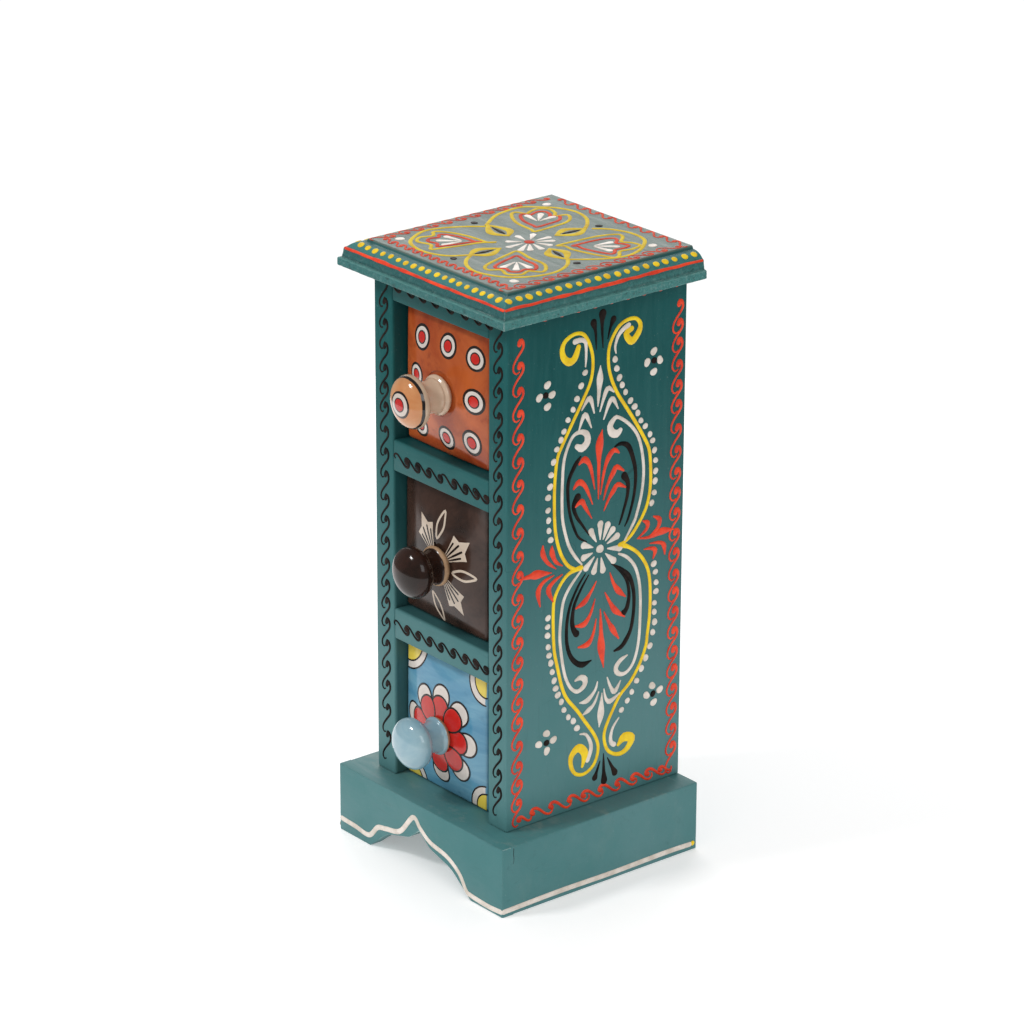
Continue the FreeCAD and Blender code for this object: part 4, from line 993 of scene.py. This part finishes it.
LOOPS = [
    [(-0.6, 30.6), (0.3, 29.9), (-4.7, 35.3), (-11.3, 39.9), (-20.5, 42), (-29.7, 39), (-35.5, 33.7),
     (-40, 27.8), (-39.7, 18.7), (-37, 10.3), (-29.7, 0)],
    [(2.8, 32.4), (7.8, 37.4), (17, 40.8), (26.2, 40), (32, 35.8), (37.8, 27.8), (40, 18.7), (37, 8.7),
     (28.7, -3)],
    [(27, -2.2), (33.7, -8), (37.8, -16.3), (37.8, -25.5), (33.7, -34.7), (27, -40.5), (17, -43.4),
     (8.7, -41.3), (2.8, -37), (-1.3, -31.3)],
    [(-2.2, -32.2), (-6.3, -38.8), (-13, -42.6), (-21.3, -43.4), (-30.5, -40.5), (-36.3, -33.8),
     (-39.7, -25.5), (-38, -17), (-33.8, -8.8), (-28.8, -2.2)],
]
LEAVES = [
    ((0, 14), (0.3, 22), (0.8, 29.5), 8.0), ((-12.2, -2.2), (-19, -1.2), (-29.3, 0.3), 8.6),
    ((12.8, 0), (19.5, -1.5), (27.8, -3.4), 8.0), ((-0.9, -16), (-1.2, -24.3), (-1.8, -31.3), 8.4),
]
HEARTS = [
    [(-9.7, 10), (-10, 18.7), (-11.3, 28.7), (-14.7, 34), (-19.3, 36.2), (-21.3, 31.2), (-24.7, 34),
     (-30.5, 35.3), (-33.8, 32), (-33, 27), (-31.5, 23.5), (-35.8, 21.5), (-35.5, 18.7), (-29.7, 14.5),
     (-22, 11.6), (-12.2, 10.8)],
    [(11.2, 5.3), (11.2, 14.5), (12, 27), (15.3, 35.3), (19.5, 34.5), (24, 30), (27.8, 32.4), (32.8, 32.8),
     (34.5, 27), (33.7, 21), (37.8, 17), (38.7, 13.7), (33.7, 11), (27, 8.7), (19.5, 7), (13.7, 7.4)],
    [(6.8, -12.6), (17, -14.3), (26.2, -14.7), (32, -18), (34.5, -22.2), (30.3, -26), (32, -31.3),
     (27.8, -35.5), (22, -33.8), (18.3, -38), (13.7, -35.5), (10.3, -27.2), (7.8, -18.8)],
    [(-8.8, -11.8), (-10.5, -14.7), (-20.5, -15.5), (-29.7, -18), (-36.3, -23), (-32.2, -27.2),
     (-33.8, -33), (-29.7, -37.2), (-23, -35.5), (-18, -39.3), (-16.3, -34.7), (-13.8, -25.5), (-12.2, -18)],
]
PETAL_TIPS = [(0.3, 9.5), (4.9, 7.8), (8.7, 3.3), (10.3, -2.6), (8.6, -7.2), (6.2, -10.5), (0, -11.8),
              (-5.9, -7.2), (-8.8, 0.3), (-6.8, 7)]
TOP_DAISY = (0, -0.7)
WHITE_SPOTS = ((-36.2, 38.8), (36.2, 36.8), (36.8, -39), (-37.4, -40.7))
BLACK_SPOTS = ((1.3, 36.6), (-35.3, -2.2), (34.5, -3.4), (-2.3, -39.7))


def sized(points, across, along):
    return [(across * x, along * y) for x, y in points]


def decorate_top():
    """A daisy inside loops, leaves and hearts, with a scrolled border along all four edges."""
    in_red, in_yellow, in_white, in_black = shapes = new_shapes(4)
    dot(in_red, TOP_DAISY, 2.2, on_top)
    daisy(in_white, TOP_DAISY, PETAL_TIPS, 3.6, [0.6, 1.9, 2.9], on_top)
    for points in LOOPS:
        stroke(in_yellow, points, 1.75, on_top)
    for *ends_and_middle, wide in LEAVES:
        start, middle, end = (Vector(p) for p in ends_and_middle)
        way = (end - start).normalized()
        across = Vector((-way.y, way.x)) * wide / 2
        for bend in (across, -across):
            stroke(in_yellow, [start, middle + bend, end], [1.6, 3.6, 1.6], on_top)
        vein = [start.lerp(middle, 0.45), middle, middle.lerp(end, 0.6)]
        stroke(in_black, vein, [0.8, 2.2, 0.8], on_top)
    for points in HEARTS:
        stroke(in_yellow, points, 1.65, on_top, closed=True)
        middle = middle_of(points)
        inner = [middle + (Vector(p) - middle) * 0.68 for p in points]
        stroke(in_red, inner, 1.65, on_top, closed=True)
        way = (middle - Vector(points[0])).normalized()
        foot = middle - way * 5.5
        for turn, reach in ((-0.62, 9.4), (0.0, 10.4), (0.62, 9.4)):
            ray = Vector(turned([way], (0, 0), turn)[0])
            near, far = foot + ray * 1.4, foot + ray * reach
            stroke(in_white, [near, near.lerp(far, 0.6), far], [0.7, 2.0, 3.0], on_top)
    for spot in WHITE_SPOTS:
        dot(in_white, spot, 2.0, on_top)
    for spot in BLACK_SPOTS:
        dot(in_black, spot, 1.6, on_top)
    upright_width, lying_width = [0.74 * w for w in SCROLL_WIDTH], [0.84 * w for w in LYING_WIDTH]
    beside = [(x, 44.4 - 7.7 * k) for k in range(12) for x in (-42.9, 43.9)]
    near_front = [(5.6 * k - 41.5, -45.8) for k in range(15)]
    near_back = [(8.4 * k - 38.6, 47.6) for k in range(10)]
    row(in_red, sized(SCROLL, 0.84, 0.80), upright_width, beside, on_top, step=0.8)
    row(in_red, sized(LYING, 0.60, 0.72), lying_width, near_front, on_top, step=0.8)
    row(in_red, sized(LYING, 0.78, 0.78), lying_width, near_back, on_top, step=0.8)
    ornament("top", shapes, (top_red, top_yellow, cream, black))


decorate_top()

DOT_SPACING = 5.2
# Sides of the moulding, with the ends of the row of dots and of the line along each
MOULDING = (("front", -46.4, 46.4, -53.0, 53.0), ("right", -53, 47, -57.2, 49), ("left", -53, 47, -57.2, 49))

band_dots, arris_line = new_shapes(2)
for side, start, end, line_start, line_end in MOULDING:
    count = int(round((end - start) / DOT_SPACING))
    for k in range(count + 1):
        a = start + (end - start) * k / count + chance.uniform(-0.35, 0.35)
        wide = chance.uniform(1.42, 1.78)
        rim = circle((a, chance.uniform(-0.2, 0.2)), wide, 18, chance.uniform(0.84, 0.98))
        blot(band_dots, rim, on_moulding(side, BAND), 0.45)
    line = [(line_start + (line_end - line_start) * k / 24, chance.uniform(-0.15, 0.15)) for k in range(25)]
    stroke(arris_line, line, [chance.uniform(1.1, 1.9) for _ in line], on_moulding(side, ARRIS), height=0.25)
piece("moulding_yellow_dots", band_dots, band_yellow)
piece("moulding_red_line", arris_line, red)


# Drawer fronts, each ornament with its own places and sizes across the front and up it

upper_front = on_drawer(-30.4, 189.7, 61.0)
middle_front = on_drawer(-31.9, 111.7, 62.1)
lower_front = on_drawer(-31.6, 32.3, 63.5)

DOTS = ((13.0, 49.3, 5.9), (31.3, 50.3, 5.6), (48.2, 48.9, 5.7), (10.0, 32.0, 5.4), (48.0, 30.0, 6.0),
        (11.5, 9.5, 5.6), (29.8, 8.8, 5.6), (46.0, 11.0, 5.9))

dot_red, dot_white, dot_black = new_shapes(3)
for u, v, radius in DOTS:
    lean = chance.uniform(0, 3)
    for shape, share, parts, base in ((dot_black, 1.0, 48, 0.0), (dot_white, 0.80, 40, 0.07),
                                      (dot_black, 0.53, 32, 0.13), (dot_red, 0.42, 28, 0.19)):
        blot(shape, circle((u, v), radius * share, parts, 0.97, lean), upper_front, 0.10, base, (u, v), True)
piece("upper_drawer_dot_cores", dot_red, glass_red, "upper_drawer")
piece("upper_drawer_dot_rings", dot_white, glass_white, "upper_drawer")
piece("upper_drawer_dot_outlines", dot_black, glass_black, "upper_drawer")


def petal(at, angle, long, wide, parts=36):
    """A rounded petal, broad at its outer end."""
    points = []
    for k in range(parts):
        a = math.tau * k / parts
        points.append((long / 2 * math.cos(a), wide / 2 * math.sin(a) * (1 + 0.18 * math.cos(a))))
    return turned(points, at, angle)


PETAL_HUB = Vector((27.6, 28.2))
# Angle of each petal and its reach from the hub
PETALS = ((88, 13.2), (47, 13.9), (2, 12.8), (-43, 13.2), (-92, 12.8), (-140, 14.0), (172, 15.2), (128, 13.4))
# Suns in the corners: corner, ways into the front, width and height
SUNS = (((0.7, 0.7), (1, 1), 13.5, 10.5), ((55.3, 0.7), (-1, 1), 9.6, 11.2),
        ((0.7, 62.8), (1, -1), 14.2, 12.2), ((55.3, 62.8), (-1, -1), 11.0, 12.8))

petal_red, petal_white, petal_line, sun_yellow = new_shapes(4)
# Layers of a petal: extra reach, length, width, thickness, height of its foot and of its outline
PETAL_LAYERS = ((petal_white, 3.6, 13.0, 10.8, 0.08, 0.0, 0.06),
                (petal_red, -1.0, 12.0, 10.6, 0.10, 0.12, 0.16))
# Layers of a sun: how much smaller, thickness, height of its foot and of its outline
SUN_LAYERS = ((petal_white, 0.0, 0.08, 0.0, 0.06), (sun_yellow, 3.6, 0.10, 0.08, 0.14))
for k, (angle, reach) in enumerate(PETALS):
    under = 0.09 * (k % 2)
    a = math.radians(angle)
    way = Vector((math.cos(a), math.sin(a)))
    for shape, extra, long, wide, thick, foot, line_foot in PETAL_LAYERS:
        at = PETAL_HUB + way * (reach + extra)
        ring = petal(at, a, long, wide)
        blot(shape, ring, lower_front, thick, under + foot, at, True)
        stroke(petal_line, ring, 0.9, lower_front, closed=True, height=0.10, base=under + line_foot)
for (x, y), (way_x, way_y), wide, tall in SUNS:
    for shape, less, thick, foot, line_foot in SUN_LAYERS:
        arc = [(x + way_x * (wide - less) * math.cos(math.pi / 2 * k / 16),
                y + way_y * (tall - less) * math.sin(math.pi / 2 * k / 16)) for k in range(17)]
        blot(shape, [(x, y)] + arc, lower_front, thick, foot, flat=True)
        stroke(petal_line, arc, 0.8, lower_front, height=0.10, base=line_foot)
piece("lower_drawer_red_petals", petal_red, glass_red, "lower_drawer")
piece("lower_drawer_white_petals", petal_white, glass_white, "lower_drawer")
piece("lower_drawer_outlines", petal_line, glass_black, "lower_drawer")
piece("lower_drawer_corner_suns", sun_yellow, glass_yellow, "lower_drawer")

LEAF_HUB = Vector((28.0, 28.4))
LEAF = [(0, 0), (1.7, 3.6), (2.3, 7.0), (1.4, 11.0), (0.2, 13.6), (-1.3, 10.4), (-2.1, 6.4), (-1.5, 3.0)]
LEAF_PLACES = (((26.7, 40.2), -14), ((37.0, 27.2), -85), ((22.6, 14.2), -159), ((15.8, 26.2), 96))
# Distances and angles from the hub, of the outline of a fan and of both ends of its slits
LOBES = [(7.2, -15), (12.5, -18.5), (18.6, -21), (18.9, -10), (24.2, -1.5), (18.8, 7), (18.5, 19), (12.5, 16),
         (7.2, 13)]
SLITS = ((8.4, 15.6, -11, -14.5, 0.9), (8.4, 17.6, -4.5, -6.5, 1.0), (8.4, 17.6, 2.5, 3.5, 1.0),
         (8.4, 15.6, 9, 12.5, 0.9))


def from_hub(radius, degrees):
    a = math.radians(degrees)
    return LEAF_HUB + radius * Vector((math.cos(a), math.sin(a)))


carved, slits = new_shapes(2)
for base, angle in LEAF_PLACES:
    stroke(carved, turned(LEAF, base, math.radians(angle)), 1.1, middle_front, closed=True, height=0.12)
for angle in (41, 127, -53, -140):
    outline = [from_hub(r, angle + d) for r, d in LOBES]
    blot(carved, outline, middle_front, 0.12, 0.0, from_hub(15.5, angle - 1), True)
    for start, end, first, last, wide in SLITS:
        one, two = from_hub(start, angle + first), from_hub(end, angle + last)
        stroke(slits, [one, one.lerp(two, 0.5), two], [0.5, wide, wide], middle_front, height=0.08, base=0.12)
piece("middle_drawer_slits", slits, glass_black, "middle_drawer")
piece("middle_drawer_carved_flower", carved, glass_cream, "middle_drawer")


# Camera, floor and light

AZIMUTH, ELEVATION, ROLL = math.radians(50.753), math.radians(21.321), math.radians(0.185)
DISTANCE = 1.91193
AIM = Vector((0, FRONT + 48.975, 135.0)) * MM
AIM_LEFT, AIM_UP = 7.464, 17.746    # how far the view's middle lies from there, in the picture's plane

back = Vector((math.sin(AZIMUTH) * math.cos(ELEVATION), -math.cos(AZIMUTH) * math.cos(ELEVATION),
               math.sin(ELEVATION)))
level = Vector((math.cos(AZIMUTH), math.sin(AZIMUTH), 0))
upright = back.cross(level)
right = math.cos(ROLL) * level + math.sin(ROLL) * upright
up = -math.sin(ROLL) * level + math.cos(ROLL) * upright
lens = bpy.data.cameras.new("camera")
lens.lens = 155.0
lens.sensor_width = 36.0
lens.clip_end = 20
camera = added("camera", lens)
camera.matrix_world = Matrix((right, up, back)).transposed().to_4x4()
camera.location = AIM - level * AIM_LEFT * MM + upright * AIM_UP * MM + back * DISTANCE
bpy.context.scene.camera = camera

FLOOR_RADIUS = 0.62
floor_shape = bmesh.new()
bmesh.ops.create_circle(floor_shape, cap_ends=True, segments=96, radius=FLOOR_RADIUS)
floor_mesh = bpy.data.meshes.new("floor")
floor_shape.to_mesh(floor_mesh)
floor_shape.free()
floor = added("floor", floor_mesh)
paper = Look("floor_paper")
paper.colour = paper.mix(paper.noise(300, 3, 0.6), (0.82, 0.82, 0.82), (0.86, 0.86, 0.86))
floor_mesh.materials.append(paper.finish(0.9, Emission_Color=(1, 1, 1, 1), Emission_Strength=0.30))

# Strength of the white surroundings: as seen, as light on the object, and as mirrored in its gloss
SEEN, AROUND, MIRRORED = 1.05, 0.62, 0.22
world = bpy.data.worlds.new("studio")
bpy.context.scene.world = world
world.use_nodes = True
tree = world.node_tree
rays = tree.nodes.new("ShaderNodeLightPath")


def glow(node, strength):
    """White light from a background node."""
    node.inputs["Color"].default_value = (1, 1, 1, 1)
    node.inputs["Strength"].default_value = strength
    return node.outputs["Background"]


def by_ray(kind, others, this):
    """One light for a kind of ray and another for the rest."""
    node = tree.nodes.new("ShaderNodeMixShader")
    for source, target in ((rays.outputs[kind], node.inputs["Fac"]), (others, node.inputs[1]),
                           (this, node.inputs[2])):
        tree.links.new(source, target)
    return node.outputs["Shader"]


around, mirrored = (glow(tree.nodes.new("ShaderNodeBackground"), strength) for strength in (AROUND, MIRRORED))
unseen = by_ray("Is Glossy Ray", around, mirrored)
light = by_ray("Is Camera Ray", unseen, glow(tree.nodes["Background"], SEEN))
tree.links.new(light, tree.nodes["World Output"].inputs["Surface"])

# Lamps: name, place, aim, width, height and power
LAMPS = (("key", (-0.45, -1.15, 1.35), (0, 0, 0.12), 0.34, 0.22, 10.0),
         ("fill", (1.5, -0.7, 1.1), (0, 0, 0.12), 0.9, 0.9, 6.0),
         ("sky", (-1.15, 0.94, 0.85), (0, 0, 0.25), 1.3, 1.3, 12.0))
for name, place, aim, wide, tall, power in LAMPS:
    lamp = bpy.data.lights.new(name, "AREA")
    lamp.shape = "RECTANGLE"
    lamp.size = wide
    lamp.size_y = tall
    lamp.energy = power
    thing = added(name, lamp)
    thing.location = place
    thing.rotation_euler = (Vector(aim) - Vector(place)).to_track_quat("-Z", "Y").to_euler()

bpy.context.scene.view_settings.view_transform = "Standard"
